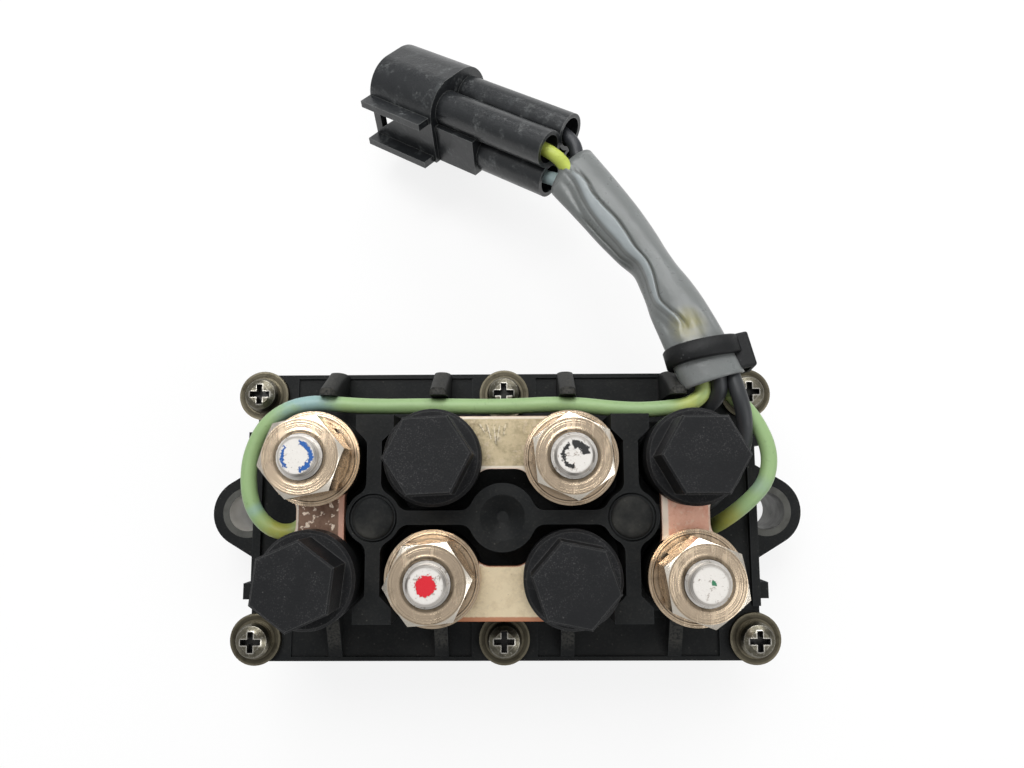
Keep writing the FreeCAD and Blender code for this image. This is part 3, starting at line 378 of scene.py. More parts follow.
def turned_metal(name, colour, centres, stain, roughness=0.2, groove=0.5):
    """Plated metal: rings left by the lathe, small stains, dark streaked sides, painted shade in corners and
    in a ring round the bore, and painted highlights on the chamfers.
    """
    finish = Finish(name, colour, roughness, Metallic=1.0)
    radius = finish.from_centres(centres)
    _, _, z = finish.axes()
    rings = finish.noise(0.00026, 2.0, 0.7, finish.vector(radius))
    layers = finish.noise(0.0004, 2.0, 0.6, finish.vector(radius, 0.0, z))
    blot = finish.noise(0.0022, 5.0, 0.65)
    scratch = finish.noise(0.0009, 3.0, 0.6, finish.stretched((1.0, 0.12, 0.3)))
    upward = finish.facing_up()
    # Painted highlight: the chamfers, which face partly upward, are made near white
    chamfer_highlight = upward.band(0.35, 0.93, 0.04)
    upright = upward.fall(0.1, 0.35)
    # Painted shadow: a dark ring round the bore of each nut and washer
    bore_shadow_ring = radius.band(0.0030, 0.00335, 0.00015)
    grooved = rings.step(0.5, 0.64) * groove * (1 - chamfer_highlight)
    # Painted shade in corners
    corner_shade = finish.corners(0.0016) * 0.8
    # Stains, lathe grooves and streaks, together with the painted shade and shadow ring, go into the stain
    # colour
    stains_and_shade = blot.step(0.5, 0.7) * 0.35 + grooved + corner_shade + bore_shadow_ring * 0.7 + upright * layers.step(0.42, 0.6) * 0.3
    shade = finish.mix(stains_and_shade.least(1.0), colour, stain)
    finish.surface(finish.mix(chamfer_highlight * 0.7, shade, srgb(250, 244, 232)),
                   rings * 0.16 + blot * 0.14 + scratch.step(0.55, 0.7) * 0.12 + roughness - 0.1,
                   rings * 0.7 + scratch * 0.3, 0.00008)
    return finish


def plain_metal(name, colour, roughness, stain, stain_share=0.4):
    """Metal with cloudy stains and fine scratches."""
    finish = Finish(name, colour, roughness, Metallic=1.0)
    cloud = finish.noise(0.0018, 4.0, 0.6)
    scratch = finish.noise(0.0005, 3.0, 0.6, finish.stretched((0.2, 1.0, 1.0)))
    finish.surface(finish.mix(cloud.step(0.4, 0.75) * stain_share, colour, stain),
                   cloud * 0.2 + scratch * 0.12 + roughness - 0.14, scratch, 0.00002)
    return finish


def bar_metal(name, colour, stain, pitted, copper_edge, rims, scratches=()):
    """Tinned copper bar: mottled tin, shade near its terminals, pits, copper along the cut edges, rims of
    another colour (axis, level, side, colour) and scratches (start and end in plan)."""
    finish = Finish(name, colour, 0.3, Metallic=0.72)
    axes = finish.axes()
    mottle = finish.noise(0.0022, 5.0, 0.7)
    fine = finish.noise(0.0005, 4.0, 0.7)
    bright = finish.noise(0.0008, 2.0, 0.5)
    # Painted shade near the terminals, mixed with the mottle into the stain colour
    near = finish.from_centres(TERMINALS).fall(0.0056, 0.0090)
    shaded = (mottle.step(0.42, 0.7) * 0.5 + near * 0.45 * fine.step(0.3, 0.6)).least(1.0)
    shade = finish.mix(shaded, colour, stain)
    shade = finish.mix(bright.step(0.58, 0.62) * fine.step(0.4, 0.5) * pitted, shade, srgb(244, 226, 206))
    shade = finish.mix(fine.step(0.62, 0.7) * 0.3, shade, srgb(96, 82, 66))
    for axis, level, side, tone in rims:
        beyond = ((axes[axis] - level) * side + (fine - 0.5) * 0.0002).step(-0.00008, 0.00012)
        shade = finish.mix(beyond * 0.85, shade, tone)
    upright = abs(finish.facing_up()).fall(0.5, 0.9)
    worn = (upright * copper_edge + finish.worn_edges(0.0004) * copper_edge).least(1.0)
    shade = finish.mix(worn, shade, srgb(196, 120, 84))
    height = fine * 0.3 + mottle * 0.5
    for (x0, y0), (x1, y1) in scratches:
        span = math.hypot(x1 - x0, y1 - y0)
        run_x, run_y = (x1 - x0) / span, (y1 - y0) / span
        along = ((axes[0] - x0) * run_x + (axes[1] - y0) * run_y).most(0.0).least(span)
        gap = ((axes[0] - x0 - along * run_x) ** 2.0 + (axes[1] - y0 - along * run_y) ** 2.0) ** 0.5
        gap = gap + (fine - 0.5) * 0.0003
        dull = gap.fall(0.0001, 0.0006) * fine.step(0.46, 0.6) * 0.5
        shade = finish.mix(dull, shade, srgb(56, 48, 36))
        scored = gap.fall(0.00002, 0.00012) * mottle.step(0.35, 0.5)
        shade = finish.mix(scored * 0.55, shade, srgb(238, 230, 212))
        height = height + scored * 0.2
    finish.surface(shade, mottle * 0.25 + fine * 0.15 + 0.14, height, 0.00004)
    return finish


def painted_stud(name, centre, strokes, paint):
    """White stud end with strokes of marking paint: inner and outer radius, middle angle and half sweep."""
    finish = Finish(name, srgb(212, 208, 202), 0.36, Metallic=0.6)
    x, y, z = finish.axes()
    radius = finish.from_centres([centre])
    angle = finish.node("Math", {"operation": "ARCTAN2"}, {0: y - centre[1], 1: x - centre[0]})
    cloud = finish.noise(0.0011, 4.0, 0.65)
    fine = finish.noise(0.0003, 3.0, 0.6)
    top = finish.facing_up().step(0.8, 0.95)
    ragged = radius + (cloud - 0.5) * 0.0007 + (fine - 0.5) * 0.0011
    mark = None
    for low, high, middle, sweep in strokes:
        away = abs(finish.node("Math", {"operation": "WRAP"}, {
            0: angle - middle, 1: math.pi, 2: -math.pi}))
        swept = (away + (cloud - 0.5) * 0.7).fall(sweep, sweep + 0.08)
        stroke = ragged.band(low, high, 0.00006) * swept
        mark = stroke if mark is None else mark.most(stroke)
    mark = mark * top
    bare = (cloud.step(0.58, 0.62) * fine.step(0.42, 0.55) + fine.step(0.64, 0.68)).least(1.0)
    rim = radius.step(0.0020, 0.0024)
    rings = finish.noise(0.00022, 2.0, 0.7, finish.vector(radius, z))
    shade = finish.mix(bare * 0.7 * top, srgb(214, 210, 204), srgb(128, 112, 98))
    shade = finish.mix((rim * rings.step(0.4, 0.62) * 0.75).least(1.0), shade, srgb(120, 108, 96))
    finish.metal((1 - mark) * (rim * 0.8 + bare * 0.5 * top + 0.05).least(1.0))
    finish.surface(finish.mix(mark, shade, paint), cloud * 0.25 + mark * 0.2 + 0.24,
                   cloud * 0.4 + fine * 0.3 + mark * 0.5, 0.00008)
    return finish


def insulation(name, colour, patch, patches, roughness=0.42):
    """Wire insulation with patches of other colours at given places, grime, painted shade in hollows and a
    soft shine.
    """
    finish = Finish(name, colour, roughness, Specular_IOR_Level=0.45)
    cloud = finish.noise(0.0045, 3.0, 0.6)
    fine = finish.noise(0.0006, 3.0, 0.6)
    shade = finish.mix(cloud.step(0.62, 0.8) * 0.35, colour, patch)
    for centre, reach, tone in patches:
        faded = finish.away_from(centre).fall(reach * 0.3, reach) * cloud.step(0.2, 0.55)
        shade = finish.mix(faded * 0.85, shade, tone)
    dark = toned(colour, 0.45)
    shade = finish.mix(fine.step(0.58, 0.8) * 0.4, shade, dark)
    # Painted shade in hollows and close to other parts
    shade = finish.mix(finish.corners(0.002) * 0.35, shade, dark)
    finish.surface(shade, cloud * 0.16 + fine * 0.1 + roughness - 0.1, fine * 0.5 + cloud * 0.5, 0.00006)
    return finish


def vinyl(name, colour):
    """Grey vinyl sleeve: soft shine, painted shade along its fold, a painted highlight on the ridge beside it
    and a yellow stain near the tie.
    """
    finish = Finish(name, colour, 0.3, Specular_IOR_Level=0.5)
    cloud = finish.noise(0.0045, 4.0, 0.6)
    fine = finish.noise(0.0008, 4.0, 0.6)
    fold = finish.node("Attribute", {"attribute_name": "fold"}, {}, "Fac")
    away = finish.away_from((0.0263, 0.0272, 0.0360))
    stain = away.fall(0.0008, 0.0036) * cloud.step(0.25, 0.6)
    shade = finish.mix(cloud.step(0.4, 0.8) * 0.3, colour, srgb(96, 98, 95))
    shade = finish.mix(stain * 0.75, shade, srgb(128, 122, 66))
    # Painted shade along the fold and a painted highlight on the ridge beside it
    shade = finish.mix(fold.step(0.1, 0.9) * 0.85, shade, srgb(58, 60, 55))
    shade = finish.mix((0 - fold).step(0.1, 0.9) * 0.7, shade, srgb(150, 157, 159))
    finish.surface(finish.mix(fine.step(0.62, 0.8) * 0.2, shade, srgb(140, 143, 142)),
                   fine * 0.16 + cloud * 0.12 + 0.16, cloud * 0.7 + fine * 0.3, 0.00012)
    return finish


def in_metres(points):
    """Points in millimetres as metres."""
    return [Vector(point) * MM for point in points]


def new_object(name, data):
    item = bpy.data.objects.new(name, data)
    bpy.context.scene.collection.objects.link(item)
    return item


def line(name, points, radius=0.0):
    """A smooth curve with these control points; radius makes it a round wire."""
    data = bpy.data.curves.new(name, "CURVE")
    data.dimensions = "3D"
    data.resolution_u = 16
    spline = data.splines.new("NURBS")
    spline.points.add(len(points) - 1)
    for control, point in zip(spline.points, points):
        control.co = (*point, 1.0)
    spline.order_u = 3
    spline.use_endpoint_u = True
    if radius:
        data.bevel_depth = radius
        data.bevel_resolution = 8
        data.use_fill_caps = True
    return new_object(name, data)


def walk(points):
    """Points along the smooth line of a route, as Blender works it out."""
    guide = line("guide", points)
    mesh = bpy.data.meshes.new_from_object(guide)
    path = [vertex.co.copy() for vertex in mesh.vertices]
    bpy.data.meshes.remove(mesh)
    bpy.data.objects.remove(guide)
    return path


def run_length(path):
    return sum((b - a).length for a, b in zip(path, path[1:]))


def new_piece(name, bm, finish, smooth=True):
    """A piece of the scene from a finished bmesh."""
    bmesh.ops.recalc_face_normals(bm, faces=bm.faces)
    mesh = bpy.data.meshes.new(name)
    bm.to_mesh(mesh)
    bm.free()
    for face in mesh.polygons:
        face.use_smooth = smooth
    mesh.materials.append(finish.material)
    return new_object(name, mesh)


def turn(number, count):
    """The angle of this step of a whole turn."""
    return math.tau * number / count


def skin(bm, loops, closed=False):
    """Faces between neighbouring loops of vertices; closed joins the last loop to the first."""
    for lower, upper in zip(loops, loops[1:] + loops[:1] if closed else loops[1:]):
        for number, corner in enumerate(lower):
            other = (number + 1) % len(lower)
            bm.faces.new((corner, lower[other], upper[other], upper[number]))


def across(direction):
    """Two directions square to a run: one level, one upward."""
    sideways = Vector((0, 0, 1)).cross(direction).normalized()
    return sideways, direction.cross(sideways).normalized()


def helix(foot, height, steps=20, sides=8):
    """Round wire wound into a return spring: its middle line rises by height from foot."""
    bm = bmesh.new()
    up = Vector((0, 0, 1))
    rings = []
    for step in range(SPRING_TURNS * steps + 1):
        outward = Vector((math.cos(turn(step, steps)), math.sin(turn(step, steps)), 0))
        middle = foot + outward * SPRING_RADIUS + up * (height * step / (SPRING_TURNS * steps))
        angles = [turn(side, sides) for side in range(sides)]
        rings.append([bm.verts.new(middle + (outward * math.cos(angle) + up * math.sin(angle)) * SPRING_WIRE)
                      for angle in angles])
    skin(bm, rings)
    bm.faces.new(rings[0])
    bm.faces.new(rings[-1])
    return bm


class RELAY_OT_case(bpy.types.Operator):
    """Finish the case, its rubber seal and the steel collars of the ears"""
    bl_idname = "relay.case"
    bl_label = "Case"

    def execute(self, context):
        plastics = context.scene.relay_plastics
        finish = moulded("case_plastic", plastics.case, plastics.dust, 0.5, 0.04, 0.06)
        dress(finish, "lower_case", edge=plastics.edge)
        dress(rubber("seal_rubber", srgb(30, 30, 31)), "case_seal")
        zinc = srgb(84, 84, 80)
        collar = Finish("collar_zinc", zinc, 0.5, Metallic=0.6)
        x, _, z = collar.axes()
        cloud = collar.noise(0.0018, 4.0, 0.6)
        # Painted light: the sideways-facing inner wall of the left ear's collar is made pale, as if lit from
        # the right
        bright = collar.facing_up().fall(0.5, 0.8) * x.fall(-0.03, 0.03) * z.step(-0.002, 0.013)
        shade = collar.mix(cloud.step(0.4, 0.75) * 0.5, zinc, srgb(50, 49, 45))
        collar.surface(collar.mix(bright, shade, srgb(206, 202, 194)), cloud * 0.25 + 0.35, cloud, 0.00004)
        dress(collar, "ear_collars", edge=0.00015)
        return {"FINISHED"}


# Button caps of the partition, in millimetres: their middles, and the reach and level of each ring
BUTTON_MIDDLES = {"left": -17.6, "right": 17.6}
BUTTON_PROFILE = [(2.86, 37.55), (2.84, 37.75), (2.72, 37.92), (2.45, 38.03), (1.8, 38.08), (0.9, 38.1)]


class RELAY_OT_block(bpy.types.Operator):
    """Finish the moulded terminal block"""
    bl_idname = "relay.block"
    bl_label = "Terminal block"

    def execute(self, context):
        plastics = context.scene.relay_plastics
        finish = moulded("block_plastic", plastics.block, plastics.dust, 0.52, 0.05, 0.04, (0.0148, 0.0252))
        dress(finish, "terminal_block", edge=plastics.edge)
        button = moulded("button_plastic", plastics.block, plastics.dust, 0.62, 0.3, 0.0)
        for side, middle in BUTTON_MIDDLES.items():
            bm = bmesh.new()
            rings = []
            for reach, height in BUTTON_PROFILE:
                angles = [turn(number, BUTTON_SIDES) for number in range(BUTTON_SIDES)]
                rings.append([bm.verts.new(Vector((
                    middle + reach * math.cos(angle), reach * math.sin(angle), height)) * MM)
                    for angle in angles])
            skin(bm, rings)
            bm.faces.new(rings[-1])
            bm.faces.new(rings[0])
            cap = new_piece("block_button_" + side, bm, button)
            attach(cap, "housing")
        return {"FINISHED"}


class RELAY_OT_case_screws(bpy.types.Operator):
    """Finish the six case screws and their washers"""
    bl_idname = "relay.case_screws"
    bl_label = "Case screws"

    def execute(self, context):
        metals = context.scene.relay_metals
        centres = [(x * MM, y * MM) for x, y in SCREWS.values()]
        finish = Finish("screw_chromate", metals.chromate, 0.36, Metallic=1.0)
        radius = finish.from_centres(centres)
        _, _, z = finish.axes()
        cloud = finish.noise(0.0009, 4.0, 0.65)
        fine = finish.noise(0.0003, 3.0, 0.6)
        worn = finish.worn_edges(0.0004)
        # Painted shade: the cross recess is made near black and less metallic, and corners are darkened
        recess_shade = z.fall(0.0270, 0.0277) * radius.fall(0.0018, 0.0020)
        shade = finish.mix(cloud.step(0.35, 0.7) * 0.7, metals.chromate, srgb(66, 64, 56))
        # Painted highlights on the rims and cross edges, with pale specks
        shade = finish.mix((fine.step(0.6, 0.7) * 0.4 + worn).least(1.0), shade, srgb(232, 228, 218))
        dark = (recess_shade * 0.92 + finish.corners(0.001) * 0.5).least(1.0)
        finish.metal(1 - recess_shade * 0.8)
        finish.surface(finish.mix(dark, shade, srgb(12, 12, 11)), cloud * 0.3 + 0.2,
                       cloud * 0.6 + fine * 0.4, 0.00006)
        dress(finish, *["case_screw_" + place for place in SCREWS], edge=0.00012)
        washer = turned_metal("washer_chromate", srgb(112, 106, 90), centres, srgb(62, 58, 48), 0.36)
        dress(washer, "case_washers", edge=0.00012)
        return {"FINISHED"}


class RELAY_OT_studs(bpy.types.Operator):
    """Finish the studs, nuts, spring washers and flat washers"""
    bl_idname = "relay.studs"
    bl_label = "Studs and nuts"

    def execute(self, context):
        metals = context.scene.relay_metals
        centres = list(STUDS.values())
        nut = turned_metal("nut_nickel", metals.nickel, centres, srgb(104, 90, 72), 0.2)
        dress(nut, *["nut_" + place for place in STUDS], edge=0.00016)
        washer = turned_metal("washer_nickel", metals.nickel, centres, srgb(78, 62, 46), 0.2, 0.85)
        dress(washer, "flat_washers", "spring_washers", edge=0.00014)
        paints = {
            "blue": ([(0.00155, 0.0021, 0.05, 1.3), (0.0017, 0.0020, 3.2, 0.75)], srgb(8, 80, 152)),
            "black": ([(0.0010, 0.0019, 0.9, 0.8), (0.0013, 0.0017, 3.4, 1.3)], srgb(20, 19, 18)),
            "red": ([(-0.001, 0.0013, 0.0, 4.0)], srgb(196, 0, 28)),
            "green": ([(0.0002, 0.0007, 0.6, 0.7)], srgb(44, 112, 78)),
        }
        for place, (strokes, paint) in paints.items():
            stud = painted_stud("stud_end_" + place, STUDS[place], strokes, paint)
            dress(stud, "stud_" + place, edge=0.00012)
        return {"FINISHED"}


class RELAY_OT_contact_bolts(bpy.types.Operator):
    """Finish the black contact bolts and the brass posts under them"""
    bl_idname = "relay.contact_bolts"
    bl_label = "Contact bolts"

    def execute(self, context):
        metals = context.scene.relay_metals
        finish = Finish("bolt_black", metals.bolt, 0.6, Specular_IOR_Level=0.22)
        cloud = finish.noise(0.004, 4.0, 0.6)
        grain = finish.noise(0.0003, 3.0, 0.6)
        near = finish.specks(0.00055).fall(0.06, 0.2)
        far = finish.specks(0.0013).fall(0.03, 0.1)
        dust = finish.noise(0.00016, 1.0, 0.4).step(0.6, 0.68) * cloud.step(0.3, 0.65)
        dots = (near * 0.5 * cloud.step(0.35, 0.6) + far + dust * 0.6).least(1.0)
        worn = finish.worn_edges(0.00035)
        shade = finish.mix(cloud.step(0.3, 0.8) * 0.4, metals.bolt, srgb(34, 34, 36))
        shade = finish.mix(dots * 0.17, shade, srgb(140, 138, 136))
        finish.surface(finish.mix(worn * 0.45, shade, srgb(98, 98, 96)),
                       grain * 0.2 + cloud * 0.1 + 0.46 - worn * 0.15, grain * 0.6 + cloud * 0.4, 0.00007)
        dress(finish, *["contact_bolt_" + place for place in BOLTS], edge=0.00028)
        dress(plain_metal("post_brass", srgb(196, 160, 92), 0.3, srgb(120, 92, 48)), "contact_posts")
        return {"FINISHED"}


class RELAY_OT_bars(bpy.types.Operator):
    """Finish the four bus bars"""
    bl_idname = "relay.bars"
    bl_label = "Bus bars"

    def execute(self, context):
        metals = context.scene.relay_metals
        # The pale rims are painted highlights along the bars' edges; the pink and copper rims are copper at
        # the cut edges
        pale, pink, copper = srgb(238, 228, 212), srgb(224, 176, 156), srgb(196, 122, 88)
        scratches = [((-0.0021, 0.0126), (-0.0016, 0.0108)), ((-0.0012, 0.0127), (-0.0009, 0.0101)),
                     ((-0.0004, 0.0125), (-0.0007, 0.0106)), ((-0.0031, 0.0127), (-0.0025, 0.0117)),
                     ((0.0004, 0.0127), (0.0002, 0.0114))]
        rear = bar_metal("bar_rear", metals.rear_bar, srgb(96, 84, 58), 0.2, 0.4, [
            (1, 0.0135, 1, pale), (1, 0.0070, -1, pale)], scratches)
        front = bar_metal("bar_front", metals.front_bar, srgb(196, 176, 144), 0.0, 0.9, [
            (1, -0.0066, 1, pale), (1, -0.0133, -1, copper)])
        left = bar_metal("bar_left", metals.left_bar, srgb(92, 66, 56), 1.0, 0.5, [
            (0, -0.0281, -1, pale), (0, -0.0226, 1, pink)])
        right = bar_metal("bar_right", metals.right_bar, srgb(206, 134, 112), 0.3, 0.6, [
            (0, 0.0227, -1, pale), (0, 0.0282, 1, pale)])
        for bar, finish in (("rear", rear), ("front", front), ("left", left), ("right", right)):
            dress(finish, "bus_bar_" + bar, edge=0.00018)
        return {"FINISHED"}


class RELAY_OT_wires(bpy.types.Operator):
    """Lay the two green and two black wires from the sleeve to the block"""
    bl_idname = "relay.wires"
    bl_label = "Wires"

    def execute(self, context):
        wiring = context.scene.relay_wiring
        patches = [((-0.0285, 0.0157, 0.0324), 0.0060, wiring.blue_patch),
                   ((-0.0354, 0.0010, 0.0324), 0.0016, wiring.blue_patch),
                   ((0.0366, 0.0040, 0.0322), 0.0024, srgb(132, 156, 136)),
                   ((-0.0322, -0.0020, 0.0322), 0.0040, wiring.yellowed),
                   ((0.0308, -0.0014, 0.0312), 0.0052, wiring.yellowed),
                   ((0.0285, 0.0168, 0.0336), 0.0058, srgb(178, 188, 98))]
        green = insulation("green_insulation", wiring.green, srgb(134, 164, 122), patches)
        black = insulation("black_insulation", wiring.black, srgb(86, 88, 88), [])
        for name, route in WIRES.items():
            points = in_metres(route)
            wire = line("laid_" + name, points, wiring.wire_radius)
            is_green = "green" in name
            wire.data.materials.append((green if is_green else black).material)
            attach(wire, "housing")
            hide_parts(name)
            if is_green:
                run_length(walk(points))
        return {"FINISHED"}


# Sleeve: share of its length, reach to the left and right and half height, in millimetres
SLEEVE_STOPS = [
    (0.0, 5.0, 4.0, 2.9), (0.1, 5.0, 3.85, 2.75), (0.2, 4.85, 3.7, 2.8), (0.29, 4.6, 3.55, 2.9),
    (0.36, 4.1, 3.3, 3.0), (0.43, 3.6, 3.0, 3.1), (0.5, 3.25, 3.1, 3.1), (0.57, 3.9, 3.5, 2.9),
    (0.64, 4.15, 3.9, 2.8), (0.72, 4.35, 4.3, 2.7), (0.86, 4.6, 4.6, 2.8), (1.0, 4.9, 4.65, 2.9)]

# Fold on the sleeve: share of the length, angle of its line of painted shade and width of the ridge beside
# it, which gets a painted highlight
FOLD_STOPS = [
    (0.0, 1.3, 0.2), (0.2, 1.3, 0.25), (0.235, 1.22, 0.25), (0.27, 1.08, 0.25), (0.32, 0.95, 0.32),
    (0.38, 1.06, 0.42), (0.42, 1.17, 0.45), (0.47, 1.25, 0.48), (0.54, 1.28, 0.52), (0.62, 1.42, 0.58),
    (0.7, 1.52, 0.64), (0.78, 1.49, 0.56), (0.85, 1.5, 0.45), (0.9, 1.6, 0.42), (0.95, 1.54, 0.3),
    (1.0, 1.22, 0.15)]


def eased(value):
    """0 up to 0, 1 from 1 and smooth between."""
    value = max(0.0, min(1.0, value))
    return value * value * (3 - 2 * value)


def between(stops, share):
    """The values of the stops at this share, on a smooth line through them."""
    last = len(stops) - 1
    index = min(last - 1, sum(share > stop[0] for stop in stops[1:]))
    before, first, second, after = (stops[max(0, min(last, index + step))] for step in (-1, 0, 1, 2))
    span = second[0] - first[0]
    part = (share - first[0]) / span
    values = []
    for column in range(1, len(first)):
        leaving = (second[column] - before[column]) / (second[0] - before[0]) * span
        arriving = (after[column] - first[column]) / (after[0] - first[0]) * span
        start, end = first[column], second[column]
        values.append(start + part * leaving + part ** 2 * (3 * (end - start) - 2 * leaving - arriving)
                      + part ** 3 * (2 * (start - end) + leaving + arriving))
    return values


def crease(share, angle):
    """How far the sleeve's wall is pressed in, in millimetres, and how much painted shade it gets: below 0 it
    gets a painted highlight.
    """
    shade_line, width = between(FOLD_STOPS, share)
    ends = eased((share - 0.17) / 0.06) * (1 - 0.55 * eased((share - 0.9) / 0.1))
    away = angle - shade_line
    gap = math.exp(-(away / 0.04) ** 2)
    ridge = eased((away + width) / 0.16) * eased((-0.03 - away) / 0.09)
    shoulder = math.exp(-((away + width + 0.03) / 0.06) ** 2)
    valley = math.exp(-((away + width + 0.3) / 0.18) ** 2)
    lower = math.exp(-((angle - 0.5) / 0.1) ** 2) * eased((share - 0.5) / 0.1) * eased((0.85 - share) / 0.1)
    pressed = ends * (0.35 * gap - 0.28 * ridge + 0.2 * shoulder + 0.5 * valley) + 0.3 * lower
    return pressed, ends * (gap + 0.45 * shoulder + 0.35 * valley - 0.85 * ridge) + 0.5 * lower


def sleeve_wall(share, angle, inset, reaches):
    """Where the wall lies from the middle line, sideways, upward and onward in millimetres,
    and how much painted shade it gets.
    """
    left, right, tall = reaches
    aside, above = math.cos(angle), math.sin(angle)
    pressed, dark = crease(share, angle)
    direction = Vector((aside * 1.4, above * 1.4, share * 5.0))
    soft = 0.30 * noise.noise(direction) + 0.05 * noise.noise(direction * 4.0)
    soft *= 0.6 + 0.4 * aside
    gathered = max(0.0, 1 - abs(share - 0.19) / 0.06) * 0.14 * math.sin(angle * 11.0)
    inward = pressed * (0.5 if inset else 1.0) + soft + gathered + inset
    wide = (left if aside > 0 else right) - soft * 0.3 - inset
    slant = max(0.0, (share - 0.8) / 0.2) * 1.1 - max(0.0, (0.12 - share) / 0.12) * 0.5
    onward = above * eased((share - 0.88) / 0.12) * 0.7 - aside * slant
    return (aside * wide, above * (tall - inward), onward), dark


class RELAY_OT_sleeve(bpy.types.Operator):
    """Draw the wrinkled vinyl sleeve as a hollow, flattened tube"""
    bl_idname = "relay.sleeve"
    bl_label = "Vinyl sleeve"

    def execute(self, context):
        wiring = context.scene.relay_wiring
        path = walk(in_metres(SHEATH))
        wall = wiring.sheath_wall / MM
        bm = bmesh.new()
        # Painted shade and highlight of the fold, kept on the vertices for the sleeve's material
        shadow = bm.verts.layers.float.new("fold")
        outside, inside = [], []
        total = run_length(path)
        travelled = 0.0
        for index, point in enumerate(path):
            before = path[max(0, index - 1)]
            after = path[min(len(path) - 1, index + 1)]
            travelled += (point - before).length
            share = travelled / total
            forward = (after - before).normalized()
            sideways, upward = across(forward)
            reaches = between(SLEEVE_STOPS, share)
            for loops, inset in ((outside, 0.0), (inside, wall)):
                loop = []
                for number in range(SLEEVE_SIDES):
                    angle = turn(number, SLEEVE_SIDES)
                    (aside, above, onward), dark = sleeve_wall(share, angle, inset, reaches)
                    offset = sideways * aside + upward * above + forward * onward
                    vertex = bm.verts.new(point + offset * MM)
                    vertex[shadow] = dark
                    loop.append(vertex)
                loops.append(loop)
        skin(bm, outside)
        skin(bm, inside)
        skin(bm, [outside[0], inside[0]])
        skin(bm, [outside[-1], inside[-1]])
        finish = vinyl("grey_vinyl", wiring.sheath)
        sleeve = new_piece("vinyl_sleeve", bm, finish)
        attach(sleeve, "housing")
        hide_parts("harness_sheath")
        return {"FINISHED"}


# Tie, in millimetres: its middle and direction, the strap's reach, the head with its shift from the middle
# and its recess (rim, step, depth), and the strap's section as place along the sleeve and height over it
TIE_MIDDLE, TIE_ALONG = Vector((28.75, 23.1, 33.75)), Vector((-0.22, 0.96, -0.12)).normalized()
STRAP_WIDE, STRAP_TALL, HEAD_SIZE, HEAD_ROUNDING = 4.55, 3.0, (3.1, 5.2, 4.2), 0.35
HEAD_ASIDE, HEAD_DOWN, HEAD_BACK, RECESS_RIM, RECESS_STEP, RECESS_DEPTH = 5.3, 0.9, 1.1, 0.55, 0.02, 1.2
STRAP_SECTION = [(-1.35, 0.0), (-1.35, 0.75), (-1.15, 0.95), (1.15, 0.95), (1.35, 0.75), (1.35, 0.0)]


class RELAY_OT_tie(bpy.types.Operator):
    """Draw the cable tie: a flat strap round the sleeve and its head"""
    bl_idname = "relay.tie"
    bl_label = "Cable tie"

    def execute(self, context):
        wiring = context.scene.relay_wiring
        finish = Finish("tie_nylon", wiring.tie, 0.5, Specular_IOR_Level=0.28)
        grain = finish.noise(0.0005, 3.0)
        speck = finish.specks(0.0009).fall(0.04, 0.14)
        worn = finish.worn_edges(0.0003)
        shade = finish.mix(grain.step(0.55, 0.8) * 0.3, wiring.tie, srgb(48, 50, 51))
        finish.surface(finish.mix((worn * 0.3 + speck * 0.35).least(1.0), shade, srgb(112, 114, 114)),
                       grain * 0.25 + 0.42, grain, 0.00005)
        centre, along = TIE_MIDDLE, TIE_ALONG
        sideways, upward = across(along)
        bm = bmesh.new()
        loops = []
        for number in range(STRAP_STEPS):
            angle = turn(number, STRAP_STEPS)
            bow = 0.12 * math.sin(angle * 2.0 + 0.8)
            aside, above = sideways * math.cos(angle), upward * math.sin(angle)
            loops.append([bm.verts.new((centre + aside * (STRAP_WIDE + height) + above * (STRAP_TALL + height)
                                        + along * (shift + bow)) * MM) for shift, height in STRAP_SECTION])
        skin(bm, loops, closed=True)
        strap = new_piece("tie_strap", bm, finish)
        bm = bmesh.new()
        bmesh.ops.create_cube(bm, size=1.0)
        bmesh.ops.scale(bm, vec=HEAD_SIZE, verts=bm.verts)
        bmesh.ops.bevel(bm, geom=bm.edges[:], offset=HEAD_ROUNDING, segments=3, affect="EDGES", profile=0.5)
        faces = [face for face in bm.faces if abs(face.normal.y) > 0.99]
        bmesh.ops.inset_individual(bm, faces=faces, thickness=RECESS_RIM, depth=0.0)
        bmesh.ops.inset_individual(bm, faces=faces, thickness=RECESS_STEP, depth=-RECESS_DEPTH)
        facing = Matrix((-sideways, along, upward)).transposed().to_4x4()
        spot = Matrix.Translation(centre - sideways * HEAD_ASIDE - upward * HEAD_DOWN - along * HEAD_BACK)
        bmesh.ops.transform(bm, matrix=Matrix.Scale(MM, 4) @ spot @ facing, verts=bm.verts)
        head = new_piece("tie_head", bm, finish, smooth=False)
        for item in (strap, head):
            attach(item, "housing")
            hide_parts("cable_tie")
        return {"FINISHED"}


